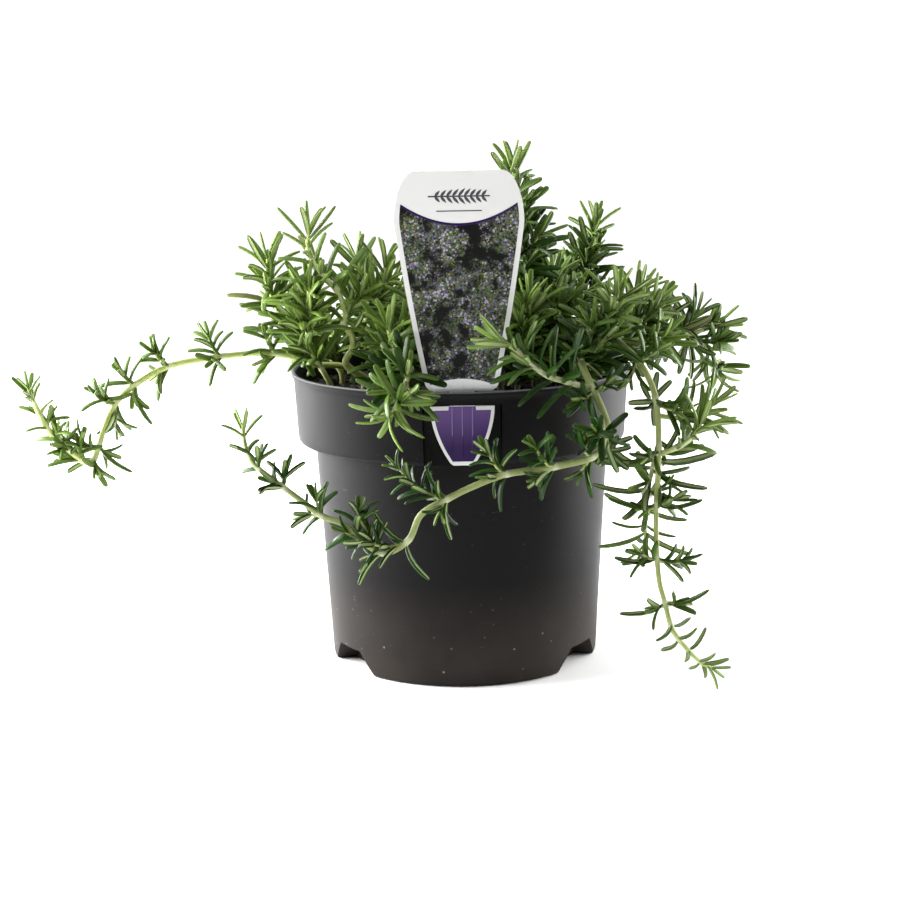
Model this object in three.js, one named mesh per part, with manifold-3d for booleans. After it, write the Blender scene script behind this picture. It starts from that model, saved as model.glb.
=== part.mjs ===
// A trailing rosemary in a black plastic nursery pot, with its soil and a plastic plant label.
// Millimetres, +Z up. The origin is the centre of the pot's base, and -Y is the front, where
// the label stands in its slot.

import * as THREE from "three";
import { mergeVertices } from "three/addons/utils/BufferGeometryUtils.js";
import Module from "manifold-3d";

const wasm = await Module();
wasm.setup();

// ---- Driving dimensions ----

// Pot: a tapered body, a wider collar above a step, and a rim that flares out.
const POT_HEIGHT = 120.5;
const RIM_RADIUS = 70;
const BASE_RADIUS = 55.5;
const BODY_TOP_RADIUS = 60.5;
const COLLAR_RADIUS = 67.5;
const COLLAR_TOP_RADIUS = 68.8;
const STEP_HEIGHT = 91.5;
const WALL = 1.3;
const FLOOR = 1.6;
const BASE_CORNER = 1.5;
const STEP_CORNER = 1.5;
const RIM_FLARE = 3.4;
const ROUND_SIDES = 36;

// Recess in the front of the collar, with the slot that holds the label.
const RECESS_WIDTH = 30;
const RECESS_FACE = 64.2;
const RECESS_REACH = 80;
const RIM_BAND_BOTTOM = 115.3;
const SLOT_ROOF = 120.2;
const SLOT_WIDTH = 12;
const SLOT_GAP = 1.4;

// Drain notches at the corner of the base: each one narrows upwards, has a flat back wall
// with a drain hole in it, and is lined all round.
const NOTCH_ANGLES = [60, 120, 240, 300];
const NOTCH_WIDTH = 36;
const NOTCH_TOP_WIDTH = 18;
const NOTCH_HEIGHT = 9;
const NOTCH_BACK = 45;
const DRAIN_WIDTH = 9;
const DRAIN_BOTTOM = 3;
const DRAIN_TOP = 6;

// Soil.
const SOIL_TOP = 112.5;
const SOIL_BUMP = 0.9;
const SOIL_SIDES = 16;
const HOLE_LENGTH = 40;
const CLEARANCE = 0.3;

// Label: a head on a neck, and a pointed tongue below the neck's shoulders.
const LABEL_FACE = 66.0;
const LABEL_THICKNESS = 0.7;
const LABEL_TOP = 203;
const HEAD_WIDTH = 48.8;
const HEAD_FOOT_WIDTH = 27;
const NECK_WIDTH = 9.6;
const TONGUE_WIDTH = 25;
const TONGUE_END_WIDTH = 11;
const TONGUE_TOP = 114.8;
const TONGUE_END = 91.8;

// Leaves: narrow three-sided needles, widest halfway.
const LEAF_WIDTH = 2.7;
const LEAF_DEPTH = 1.6;
const LEAF_ARCH = 0.06;
const LEAF_LENGTH = [12, 16.5];
const TUFT_LENGTH = [8.5, 11.5];
const LEAF_SPACING = 11;
const TIP_LEAVES = 4;
const TIP_STAGGER = 1.7;
const TIP_LENGTH = 7;
const PAIR_LEAN = { out: 0.9, forward: 0.42, upward: 0.15 };
const TIP_LEAN = { out: 0.35, forward: 0.9, upward: 0.05 };

// Short shoots in the leaf joints of the trailing stems, just above the leaf pair: a stalk
// with leaves on both sides. A shoot shorter than TWIG_LENGTH is only a tuft of leaves, and
// one of up to TUFT_LEAST only a bud, which is left out. A shoot longer than LYING_LENGTH
// lies along its stem, where the stem itself lies.
const TWIG_LEAN = { out: 0.75, forward: 0.5, upward: 0.5 };
const LYING_LEAN = { out: 0.42, forward: 1.0, upward: 0.5 };
const LYING_LENGTH = 13;
const TUFT_LEAST = 3;
const TWIG_LENGTH = 7;
const TWIG_PAIR_SPACING = 4.5;
const TWIG_OFFSET = 1.8;
const TWIG_RADIUS = [0.8, 0.5];
const TWIG_LEAF_LEAN = { out: 0.8, forward: 0.6, upward: 0.1 };
const GOLDEN_TURN = 2.4;
const TRY_TURNS = [0, 25, -25, 50, -50, 80, -80];
const SHOOT_BARE = 6;

// Stems: square in section, set in holes in the soil.
const STEM_SIDES = 4;
const STEM_STEP = 12;
const FOOT_DEPTH = 11;
const ROOT_DEPTH = 0.1;
const LEAF_GAP = 0.4;
const LEAF_APART = 0.8;
const SEED = 1207;

const colours = {
  pot: 0x262526,
  soil: 0x3a2c20,
  label: 0xdcdcdc,
  leaf: 0x4f6b2c,
};

// ---- The leafy stems ----
// foot is where the stem leaves the soil (x, y). route holds the points that it passes
// through above the soil, and its tip comes last. radius is at the foot and at the tip.
// Where radius has more values, they are spread evenly along the stem. bare is the length
// from the foot without leaves. joints lists the leaf joints of a trailing stem: the length
// from the foot, the turn of its leaf pair from upright in degrees, and the lengths of the
// short shoots in its two axils. A shoot of the list shoots starts on a point of its own stem.

const stems = [
  {
    name: "stem_trail_left",
    foot: [-40, -6],
    radius: [1.4, 1.3, 1.2, 1.15, 1.15, 1.2, 1.2, 1.0, 1.3, 1.2, 0.75],
    joints: [
      [40, 60, 3, 3], [54, 0, 8, 3], [76, 20, 8, 4], [98, -20, 8, 3], [113, 10, 6, 4],
      [124, 0, 9, 8], [141, 0, 7, 3], [147, 60, 4, 3], [153, -20, 5, 3], [160, 70, 3, 3],
      [166, 0, 3, 2], [172, 80, 3, 2], [178, 0, 2, 2], [184, 80, 1, 1],
    ],
    route: [
      [-47, -8, 122], [-59, -12, 124], [-69, -16, 128], [-80, -20, 130], [-87, -22, 130],
      [-101, -26, 129], [-115, -30, 127], [-126, -33, 122], [-135, -36, 115],
      [-139, -38, 109], [-143, -40, 98], [-146, -42, 91], [-149, -44, 92], [-155, -46, 98],
      [-161, -48, 105], [-165, -50, 115], [-167, -52, 122],
    ],
    shoots: [
      {
        radius: [1.1, 0.7],
        route: [
          [-66, -15, 127], [-69, -17, 136], [-71, -18, 143], [-74, -20, 150],
          [-76, -22, 160], [-76, -22, 168],
        ],
      },
    ],
  },
  {
    name: "stem_trail_front",
    foot: [40, -34],
    radius: [1.5, 1.45, 1.4, 1.35, 1.4, 1.4, 1.3, 1.3, 1.25, 1.2, 1.1, 0.65],
    joints: [
      [44, 20, 4, 4], [61, -60, 6, 7], [80, 180, 18, 13], [92, 0, 6, 6], [107, -10, 12, 5],
      [125, 10, 10, 3], [149, 0, 20, 3], [172, 0, 14, 2], [183, 10, 8, 3], [194, 20, 8, 4],
      [211, 0, 6, 4], [228, 60, 4, 3], [240, 0, 3, 2], [248, 80, 1, 1],
    ],
    route: [
      [44, -48, 132], [47, -60, 126], [49, -68, 121], [51, -73, 117], [53, -76, 112],
      [54, -78, 108], [52, -80, 103], [50, -82, 99], [46, -84, 97], [40, -86, 96],
      [32, -88, 95], [23, -89, 94], [15, -90, 93], [4, -90, 89], [-6, -89, 84],
      [-16, -88, 78], [-21, -87, 68], [-30, -86, 63], [-35, -85, 65], [-46, -82, 74],
      [-53, -80, 76], [-60, -78, 81], [-67, -76, 86], [-74, -74, 91], [-79, -72, 95],
      [-82, -70, 101], [-83, -69, 109],
    ],
    shoots: [
      {
        radius: [1.2, 0.8],
        route: [
          [49, -68, 121], [38, -75, 125], [31, -79, 128], [24, -81, 134], [19, -82, 139],
          [14, -82, 141],
        ],
      },
    ],
  },
  {
    name: "stem_trail_right",
    foot: [44, -20],
    radius: [1.5, 1.5, 1.4, 1.35, 1.25, 1.15, 1.1, 1.1, 1.1, 0.7],
    joints: [
      [38, 0, 4, 4], [52, 40, 6, 5], [68, -20, 8, 7], [86, 60, 9, 9], [104, 150, 6, 6],
      [126, 0, 7, 3], [147, 0, 9, 7], [165, 20, 4, 3], [177, -30, 3, 2], [187, 40, 2, 2],
    ],
    route: [
      [55, -36, 138], [59, -42, 137], [63, -48, 134], [67, -53, 130], [71, -57, 124],
      [74, -60, 115], [75, -62, 96], [74, -63, 75], [74, -64, 60], [75, -65, 45],
      [77, -66, 37], [80, -68, 26], [85, -69, 19], [91, -70, 13], [95, -70, 11],
    ],
    shoots: [
      {
        radius: [1.1, 0.7],
        route: [[75, -62, 99], [73, -57, 87], [71, -54, 74], [71, -53, 66], [71, -52, 57]],
      },
      { radius: [1.0, 0.7], route: [[74, -61, 109], [84, -56, 107], [92, -52, 108], [97, -50, 111]] },
      { radius: [1.0, 0.7], route: [[75, -62, 94], [83, -66, 98], [88, -69, 103], [90, -70, 107]] },
    ],
  },
  {
    name: "stem_arch_back_right",
    foot: [42, 26],
    radius: [1.5, 0.8],
    joints: [
      [34, 0, 5, 5], [46, 40, 6, 5], [58, 0, 7, 6], [72, 50, 8, 6], [85, 0, 7, 5], [97, 60, 4, 4],
    ],
    route: [
      [56, 28, 124], [71, 34, 126], [78, 40, 127], [90, 48, 127], [102, 54, 125],
      [109, 58, 119], [114, 60, 112], [115, 60, 106],
    ],
    shoots: [{ radius: [0.9, 0.7], route: [[102, 54, 125], [110, 56, 127], [116, 57, 128]] }],
  },
  {
    name: "stem_trail_back",
    foot: [-10, 50],
    radius: [1.6, 0.8],
    joints: [
      [30, 0, 5, 5], [44, 30, 7, 6], [62, 0, 9, 6], [78, 60, 9, 7], [90, 0, 6, 5], [101, 70, 3, 3],
    ],
    route: [
      [-12, 62, 124], [-14, 72, 127], [-17, 83, 122], [-20, 90, 110], [-22, 93, 94],
      [-21, 95, 78], [-18, 97, 66],
    ],
    shoots: [{ radius: [1.0, 0.7], route: [[-20, 90, 110], [-27, 95, 108], [-34, 99, 111]] }],
  },
  {
    name: "stem_hang_front_left",
    foot: [-19, -46],
    radius: [1.35, 0.8],
    bare: 16,
    route: [
      [-19, -57, 128], [-20, -67, 128], [-21, -75, 125], [-23, -80, 120], [-27, -83, 114],
    ],
    shoots: [],
  },
  {
    name: "stem_bent_left",
    foot: [-36, -22],
    radius: [1.8, 0.8],
    bare: 22,
    route: [
      [-46, -24, 126], [-43, -25, 132], [-43, -26, 137], [-46, -27, 142], [-44, -27, 147],
      [-40, -26, 149], [-36, -24, 150], [-33, -23, 152], [-30, -22, 159], [-29, -21, 165],
    ],
    shoots: [
      {
        radius: [1.1, 0.7],
        route: [
          [-45, -27, 145], [-47, -30, 153], [-50, -32, 158], [-54, -34, 163],
          [-57, -35, 168], [-59, -36, 173], [-58, -36, 180],
        ],
      },
      { radius: [1.0, 0.7], route: [[-36, -24, 150], [-37, -20, 155], [-40, -17, 162], [-41, -16, 167]] },
    ],
  },
  {
    name: "stem_upright_label",
    foot: [14, -8],
    radius: [1.5, 0.8],
    bare: 20,
    route: [
      [20, -11, 134], [21, -16, 153], [24, -20, 169], [23, -22, 183], [21, -23, 195],
      [21, -24, 202],
    ],
    shoots: [],
  },
  {
    name: "stem_upright_back",
    foot: [24, 40],
    radius: [1.4, 0.8],
    bare: 20,
    route: [[40, 43, 130], [51, 46, 142], [53, 48, 150], [56, 50, 159], [59, 51, 167], [60, 52, 174]],
    shoots: [],
  },
  {
    name: "stem_left_edge",
    foot: [-52, -26],
    radius: [1.3, 0.8],
    bare: 14,
    route: [[-60, -30, 134], [-60, -33, 143], [-59, -35, 151], [-59, -36, 158]],
    shoots: [],
  },
  {
    name: "stem_left_whorl",
    foot: [-31, -36],
    radius: [1.3, 0.8],
    bare: 14,
    route: [[-27, -45, 130], [-27, -49, 138], [-28, -51, 144]],
    shoots: [],
  },
  {
    name: "stem_left_mid",
    foot: [-22, -16],
    radius: [1.35, 0.8],
    bare: 14,
    route: [[-21, -20, 132], [-20, -24, 145], [-18, -27, 153]],
    shoots: [{ radius: [0.9, 0.7], route: [[-21, -20, 132], [-27, -22, 137], [-33, -26, 138]] }],
  },
  {
    name: "stem_left_back",
    foot: [-26, 12],
    radius: [1.35, 0.8],
    bare: 14,
    route: [[-31, 15, 132], [-36, 18, 145], [-38, 20, 153]],
    shoots: [{ radius: [0.9, 0.7], route: [[-31, 15, 132], [-24, 20, 139], [-20, 22, 146]] }],
  },
  {
    name: "stem_left_rim",
    foot: [-50, 12],
    radius: [1.3, 0.8],
    bare: 12,
    route: [[-58, 14, 128], [-64, 15, 138], [-67, 14, 146]],
    shoots: [],
  },
  {
    name: "stem_centre",
    foot: [-4, 8],
    radius: [1.4, 0.8],
    bare: 14,
    route: [[-6, 9, 134], [-9, 10, 147], [-10, 10, 156]],
    shoots: [{ radius: [0.9, 0.7], route: [[-6, 9, 134], [-12, 4, 140], [-17, 0, 144]] }],
  },
  {
    name: "stem_behind_label",
    foot: [0, -34],
    radius: [1.3, 0.8],
    bare: 14,
    route: [[-2, -40, 129], [-5, -45, 139], [-6, -47, 146]],
    shoots: [{ radius: [0.9, 0.7], route: [[-2, -40, 129], [5, -46, 134], [9, -49, 139]] }],
  },
  {
    name: "stem_centre_front",
    foot: [-2, -14],
    radius: [1.35, 0.8],
    bare: 14,
    route: [[-1, -19, 134], [-3, -24, 148], [-3, -26, 157]],
    shoots: [],
  },
  {
    name: "stem_right_old",
    foot: [16, -22],
    radius: [1.7, 1.0],
    bare: 20,
    route: [[20, -22, 136], [27, -25, 145], [35, -30, 146], [43, -37, 143], [49, -41, 137]],
    shoots: [],
  },
  {
    name: "stem_label_right",
    foot: [22, -38],
    radius: [1.3, 0.8],
    bare: 14,
    route: [[23, -42, 132], [26, -44, 144], [27, -46, 152]],
    shoots: [],
  },
  {
    name: "stem_right_front",
    foot: [42, -45],
    radius: [1.3, 0.8],
    bare: 14,
    route: [[49, -51, 131], [55, -53, 138], [58, -52, 147], [60, -50, 155]],
    shoots: [],
  },
  {
    name: "stem_right_outer",
    foot: [55, -8],
    radius: [1.3, 0.8],
    bare: 14,
    route: [[65, -13, 130], [71, -16, 138], [76, -17, 143], [79, -18, 147]],
    shoots: [{ radius: [0.9, 0.7], route: [[65, -13, 130], [74, -22, 131], [80, -28, 134]] }],
  },
  {
    name: "stem_right_top",
    foot: [30, -12],
    radius: [1.35, 0.8],
    bare: 14,
    route: [[34, -11, 138], [37, -9, 150], [38, -8, 157]],
    shoots: [{ radius: [0.9, 0.7], route: [[34, -11, 138], [42, -14, 144], [46, -15, 150]] }],
  },
  {
    name: "stem_right_rim",
    foot: [56, 10],
    radius: [1.3, 0.8],
    bare: 14,
    route: [[65, 10, 132], [71, 8, 143], [75, 8, 150]],
    shoots: [{ radius: [0.9, 0.7], route: [[65, 10, 132], [74, 17, 135], [80, 21, 140]] }],
  },
  {
    name: "stem_right_back",
    foot: [27, 12],
    radius: [1.35, 0.8],
    bare: 14,
    route: [[33, 15, 134], [38, 17, 147], [40, 17, 156]],
    shoots: [{ radius: [0.9, 0.7], route: [[33, 15, 134], [44, 19, 139], [50, 21, 145]] }],
  },
  {
    name: "stem_back_centre",
    foot: [10, 23],
    radius: [1.35, 0.8],
    bare: 14,
    route: [[13, 27, 134], [17, 32, 147], [18, 34, 156]],
    shoots: [{ radius: [0.9, 0.7], route: [[13, 27, 134], [7, 33, 140], [3, 36, 146]] }],
  },
  {
    name: "stem_back_left",
    foot: [-29, 36],
    radius: [1.3, 0.8],
    bare: 14,
    route: [[-35, 42, 128], [-42, 48, 137], [-47, 51, 143]],
    shoots: [{ radius: [0.9, 0.7], route: [[-35, 42, 128], [-30, 51, 134], [-27, 57, 139]] }],
  },
  {
    name: "stem_back_low",
    foot: [10, 50],
    radius: [1.3, 0.8],
    bare: 12,
    route: [[14, 58, 126], [20, 66, 132], [24, 71, 136]],
    shoots: [],
  },
];

// ---- Solids and meshes ----

// A closed geometry as a solid that can be joined and cut.
function solidOf(geometry) {
  const bare = geometry.index ? geometry.toNonIndexed() : geometry.clone();
  bare.deleteAttribute("normal");
  bare.deleteAttribute("uv");
  const merged = mergeVertices(bare, 1e-4);
  const mesh = new wasm.Mesh({
    numProp: 3,
    vertProperties: merged.attributes.position.array,
    triVerts: new Uint32Array(merged.index.array),
  });
  return new wasm.Manifold(mesh);
}

// The largest body of a solid: loose scraps are dropped and sealed hollows are filled.
function largestBody(solid) {
  return solid.decompose().reduce((best, body) => (body.volume() > best.volume() ? body : best));
}

function meshOf(name, solid, colour, roughness) {
  const { vertProperties, triVerts } = solid.getMesh();
  const geometry = new THREE.BufferGeometry();
  geometry.setAttribute("position", new THREE.Float32BufferAttribute(vertProperties, 3));
  geometry.setIndex(new THREE.Uint32BufferAttribute(triVerts, 1));
  const material = new THREE.MeshStandardMaterial({ color: colour, roughness, metalness: 0 });
  const mesh = new THREE.Mesh(geometry.toNonIndexed(), material);
  mesh.geometry.computeVertexNormals();
  mesh.name = name;
  return mesh;
}

// A solid of revolution about Z, from a profile of (radius, height) points that runs
// anticlockwise and starts and ends on the axis or closes on itself.
function turned(profile, sides = ROUND_SIDES) {
  const points = profile.map(([radius, height]) => new THREE.Vector2(radius, height));
  return solidOf(new THREE.LatheGeometry(points, sides).rotateX(Math.PI / 2));
}

// A box between two corners.
function block([x0, y0, z0], [x1, y1, z1]) {
  const geometry = new THREE.BoxGeometry(x1 - x0, y1 - y0, z1 - z0);
  geometry.translate((x0 + x1) / 2, (y0 + y1) / 2, (z0 + z1) / 2);
  return solidOf(geometry);
}

// ---- Pot ----

// The pot's outer radius at a height.
function potRadius(height) {
  if (height > STEP_HEIGHT) {
    const part = (height - STEP_HEIGHT) / (POT_HEIGHT - STEP_HEIGHT);
    return THREE.MathUtils.lerp(COLLAR_RADIUS, RIM_RADIUS, part);
  }
  return THREE.MathUtils.lerp(BASE_RADIUS, BODY_TOP_RADIUS, height / STEP_HEIGHT);
}

// The space of a drain notch, or the space of its lining when grown by the wall: a block that
// narrows upwards, from its back wall outwards.
function notchSolid(angle, grown) {
  const half = NOTCH_WIDTH / 2 + grown;
  const topHalf = NOTCH_TOP_WIDTH / 2 + grown;
  const side = new THREE.Shape([
    new THREE.Vector2(-half - 1, -1), new THREE.Vector2(half + 1, -1),
    new THREE.Vector2(topHalf, NOTCH_HEIGHT + grown), new THREE.Vector2(-topHalf, NOTCH_HEIGHT + grown),
  ]);
  const geometry = new THREE.ExtrudeGeometry(side, { depth: 20, bevelEnabled: false });
  geometry.rotateX(Math.PI / 2);
  geometry.translate(0, -NOTCH_BACK + grown, 0);
  return solidOf(geometry.rotateZ(THREE.MathUtils.degToRad(angle)));
}

function makePot() {
  const outline = [
    [0, 0], [BASE_RADIUS - BASE_CORNER, 0], [BASE_RADIUS, BASE_CORNER],
    [BODY_TOP_RADIUS, STEP_HEIGHT], [COLLAR_RADIUS - STEP_CORNER, STEP_HEIGHT],
    [COLLAR_RADIUS, STEP_HEIGHT + STEP_CORNER], [COLLAR_TOP_RADIUS, POT_HEIGHT - RIM_FLARE],
    [RIM_RADIUS, POT_HEIGHT - 1],
    [RIM_RADIUS, POT_HEIGHT],
  ];
  const hollow = [
    [RIM_RADIUS - WALL, POT_HEIGHT], [COLLAR_TOP_RADIUS - WALL, POT_HEIGHT - RIM_FLARE],
    [COLLAR_RADIUS - WALL, STEP_HEIGHT + WALL], [BODY_TOP_RADIUS - WALL, STEP_HEIGHT + WALL],
    [BASE_RADIUS - WALL, FLOOR], [0, FLOOR],
  ];
  const full = turned([...outline, [0, POT_HEIGHT]]);
  const shell = turned([...outline, ...hollow]);

  const half = RECESS_WIDTH / 2;
  const pocket = block(
    [-half - WALL, -RIM_RADIUS, STEP_HEIGHT],
    [half + WALL, -RECESS_FACE + WALL, SLOT_ROOF],
  ).intersect(full);
  const recess = block([-half, -RECESS_REACH, STEP_HEIGHT - 5], [half, -RECESS_FACE, RIM_BAND_BOTTOM]);
  const bandInside = COLLAR_TOP_RADIUS - WALL;
  const behindBand = block(
    [-half, -RECESS_REACH, RIM_BAND_BOTTOM - 1],
    [half, -RECESS_FACE, SLOT_ROOF - WALL],
  ).intersect(turned([
    [0, STEP_HEIGHT], [bandInside, STEP_HEIGHT], [bandInside, POT_HEIGHT], [0, POT_HEIGHT],
  ]));
  const slot = block(
    [-SLOT_WIDTH / 2, -LABEL_FACE - SLOT_GAP, RIM_BAND_BOTTOM],
    [SLOT_WIDTH / 2, -LABEL_FACE + SLOT_GAP, POT_HEIGHT + 5],
  );

  let pot = shell.add(pocket).subtract(recess).subtract(behindBand).subtract(slot);
  for (const angle of NOTCH_ANGLES) {
    pot = pot.add(notchSolid(angle, WALL).intersect(full));
  }
  for (const angle of NOTCH_ANGLES) {
    const drain = new THREE.BoxGeometry(DRAIN_WIDTH, 10, DRAIN_TOP - DRAIN_BOTTOM);
    drain.translate(0, -NOTCH_BACK, (DRAIN_TOP + DRAIN_BOTTOM) / 2);
    drain.rotateZ(THREE.MathUtils.degToRad(angle));
    pot = pot.subtract(notchSolid(angle, 0)).subtract(solidOf(drain));
  }
  return largestBody(pot);
}

// ---- Soil ----

function makeSoil() {
  const gap = CLEARANCE;
  const profile = [
    [0, FLOOR + gap], [BASE_RADIUS - WALL - gap - 0.4, FLOOR + gap],
    [BODY_TOP_RADIUS - WALL - gap, STEP_HEIGHT + WALL + gap],
    [COLLAR_RADIUS - WALL - gap - 0.1, STEP_HEIGHT + WALL + gap],
    [66.6, SOIL_TOP - 1.5], [54, SOIL_TOP], [36, SOIL_TOP], [18, SOIL_TOP], [0, SOIL_TOP],
  ];
  const points = profile.map(([radius, height]) => new THREE.Vector2(radius, height));
  const geometry = new THREE.LatheGeometry(points, SOIL_SIDES).rotateX(Math.PI / 2);
  const place = geometry.attributes.position;
  for (let i = 0; i < place.count; i += 1) {
    if (place.getZ(i) > SOIL_TOP - 0.1) {
      const x = place.getX(i);
      const y = place.getY(i);
      const bump = SOIL_BUMP * Math.sin(x / 7.3 + 1) * Math.cos(y / 6.1);
      place.setZ(i, Math.round((place.getZ(i) + bump) * 1000) / 1000);
    }
  }
  const half = RECESS_WIDTH / 2 + WALL + gap;
  const pocket = block([-half, -RECESS_REACH, STEP_HEIGHT], [half, -RECESS_FACE + WALL + gap, POT_HEIGHT]);
  let soil = solidOf(geometry).subtract(pocket);
  for (const angle of NOTCH_ANGLES) soil = soil.subtract(notchSolid(angle, WALL + gap));
  for (const { foot, radius } of stems) {
    const across = (radius[0] + CLEARANCE) / Math.cos(Math.PI / 6);
    const hole = new THREE.CylinderGeometry(across, across, HOLE_LENGTH, 6);
    hole.rotateX(Math.PI / 2);
    hole.translate(foot[0], foot[1], SOIL_TOP - FOOT_DEPTH - CLEARANCE + HOLE_LENGTH / 2);
    soil = soil.subtract(solidOf(hole));
  }
  return largestBody(soil);
}

// ---- Label ----

// The label's half width at a height on its head.
function headHalfWidth(height) {
  const widest = 184;
  if (height > widest) {
    return THREE.MathUtils.lerp(HEAD_WIDTH / 2, 19.5, (height - widest) / (LABEL_TOP - widest));
  }
  const part = (widest - height) / (widest - SLOT_ROOF);
  return THREE.MathUtils.lerp(HEAD_WIDTH / 2, HEAD_FOOT_WIDTH / 2, part);
}

function makeLabel() {
  const foot = SLOT_ROOF + CLEARANCE;
  const side = [
    [TONGUE_END_WIDTH / 2, TONGUE_END], [TONGUE_WIDTH / 2 - 1, TONGUE_TOP - 9],
    [TONGUE_WIDTH / 2, TONGUE_TOP], [NECK_WIDTH / 2, TONGUE_TOP], [NECK_WIDTH / 2, foot],
    [HEAD_FOOT_WIDTH / 2 - 3, foot], [HEAD_FOOT_WIDTH / 2 - 0.6, foot + 1.2],
    [headHalfWidth(foot + 4), foot + 4], [headHalfWidth(178), 178], [HEAD_WIDTH / 2, 184],
    [headHalfWidth(190), 190], [headHalfWidth(197), 197], [19, 201.5], [16, LABEL_TOP],
  ];
  const otherSide = side.map(([x, z]) => [-x, z]).reverse();
  const corners = [...side, ...otherSide].map(([x, z]) => new THREE.Vector2(x, z));
  const outline = new THREE.Shape(corners);
  const geometry = new THREE.ExtrudeGeometry(outline, {
    depth: LABEL_THICKNESS,
    bevelEnabled: false,
  });
  geometry.rotateX(Math.PI / 2);
  geometry.translate(0, -LABEL_FACE + LABEL_THICKNESS / 2, 0);
  return solidOf(geometry);
}

// ---- Leafy stems ----

// A seeded random number from 0 to 1.
function makeRandom(seed) {
  let state = seed;
  return () => {
    state = (state + 0x6d2b79f5) | 0;
    let mixed = Math.imul(state ^ (state >>> 15), 1 | state);
    mixed = (mixed + Math.imul(mixed ^ (mixed >>> 7), 61 | mixed)) ^ mixed;
    return ((mixed ^ (mixed >>> 14)) >>> 0) / 4294967296;
  };
}

const vector = (point) => new THREE.Vector3(...point);
const UP = new THREE.Vector3(0, 0, 1);

// The stem's centre line, from its foot in the soil to its tip.
function stemCurve(stem) {
  const [x, y] = stem.foot;
  const below = [[x, y, SOIL_TOP - FOOT_DEPTH], [x, y, SOIL_TOP - 3], [x, y, SOIL_TOP + 4]];
  return new THREE.CatmullRomCurve3([...below, ...stem.route].map(vector), false, "centripetal");
}

const shootCurve = (shoot) => new THREE.CatmullRomCurve3(shoot.route.map(vector), false, "centripetal");

// The radius at a share of the way along, from values spread evenly.
function radiusAt(radii, part) {
  const at = Math.min(part, 0.9999) * (radii.length - 1);
  const before = Math.floor(at);
  return THREE.MathUtils.lerp(radii[before], radii[before + 1], at - before);
}

// A bar of changing radius bent along a curve, made from a cylinder.
function stemSolid(curve, radii) {
  const length = curve.getLength();
  const steps = Math.max(1, Math.round(length / STEM_STEP));
  const bar = new THREE.CylinderGeometry(1, 1, length, STEM_SIDES, steps);
  const frames = curve.computeFrenetFrames(steps, false);
  const place = bar.attributes.position;
  const point = new THREE.Vector3();
  for (let i = 0; i < place.count; i += 1) {
    const step = Math.round((place.getY(i) / length + 0.5) * steps);
    const radius = radiusAt(radii, step / steps);
    curve.getPointAt(step / steps, point);
    point.addScaledVector(frames.normals[step], place.getX(i) * radius);
    point.addScaledVector(frames.binormals[step], -place.getZ(i) * radius);
    place.setXYZ(i, point.x, point.y, point.z);
  }
  return solidOf(bar);
}

// A leaf: a three-sided needle with its root sunk in the stem. It is flat on the side that
// faces the stem's tip, and it arches away from that side.
function leafSolid({ root, direction, face, length }) {
  const needle = new THREE.SphereGeometry(1, 3, 2);
  const across = new THREE.Vector3().crossVectors(face, direction);
  const place = needle.attributes.position;
  const point = new THREE.Vector3();
  for (let i = 0; i < place.count; i += 1) {
    const part = (1 + place.getY(i)) / 2;
    const arch = -4 * LEAF_ARCH * length * part * (1 - part);
    point.copy(root).addScaledVector(direction, part * length);
    point.addScaledVector(across, place.getZ(i) * (LEAF_WIDTH / 1.732));
    point.addScaledVector(face, place.getX(i) * (LEAF_DEPTH / 1.5) + arch);
    place.setXYZ(i, point.x, point.y, point.z);
  }
  return solidOf(needle);
}

// Everything solid that leaves keep clear of: capsules of the stems and of earlier leaves.
const capsules = [];

function addCapsules(owner, points, radius) {
  for (let i = 1; i < points.length; i += 1) {
    capsules.push({ owner, line: new THREE.Line3(points[i - 1], points[i]), radius });
  }
}

// The distance between two straight pieces, from points along the first one.
function gapBetween(line, other) {
  const point = new THREE.Vector3();
  const nearest = new THREE.Vector3();
  let gap = Infinity;
  for (let i = 0; i <= 8; i += 1) {
    line.at(i / 8, point);
    other.closestPointToPoint(point, true, nearest);
    gap = Math.min(gap, point.distanceTo(nearest));
  }
  return gap;
}

// True where a point keeps clear of the pot, the soil, the label and the ground.
function isOpenPlace(point, margin) {
  const { x, y, z } = point;
  const radius = Math.hypot(x, y);
  if (z < margin) return false;
  if (radius < RIM_RADIUS - WALL && z < SOIL_TOP + SOIL_BUMP + margin) return false;
  if (z < POT_HEIGHT + margin) {
    const inside = radius < COLLAR_RADIUS - WALL - margin && z > SOIL_TOP;
    const atPocket = Math.abs(x) < RECESS_WIDTH / 2 + WALL + margin && y < -RECESS_FACE + WALL + margin;
    if (!inside && radius < potRadius(z) + margin) return false;
    if (inside && atPocket) return false;
  }
  const byLabel = Math.abs(y + LABEL_FACE) < LABEL_THICKNESS / 2 + margin;
  return !(byLabel && z > TONGUE_END - margin && Math.abs(x) < headHalfWidth(z) + margin);
}

// True where a leaf touches nothing but its own stem.
function isClear(owner, { root, direction, face, length }) {
  const reach = LEAF_WIDTH / 2 + 0.15;
  const at = (part) => new THREE.Vector3().copy(root).addScaledVector(direction, part * length)
    .addScaledVector(face, -4 * LEAF_ARCH * length * part * (1 - part));
  const points = [0.12, 0.5, 1].map(at);
  for (let part = 0.25; part <= 1; part += 0.125) {
    if (!isOpenPlace(at(part), reach + LEAF_GAP)) return false;
  }
  const lines = [new THREE.Line3(points[0], points[1]), new THREE.Line3(points[1], points[2])];
  const outer = new THREE.Line3(at(0.45), points[2]);
  for (const other of capsules) {
    if (other.owner !== owner) {
      const need = reach + other.radius + LEAF_GAP;
      if (root.distanceTo(other.line.start) < length + 20
        && lines.some((line) => gapBetween(line, other.line) < need)) return false;
    } else if (gapBetween(outer, other.line) < LEAF_APART + other.radius) {
      return false;
    }
  }
  return true;
}

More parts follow.
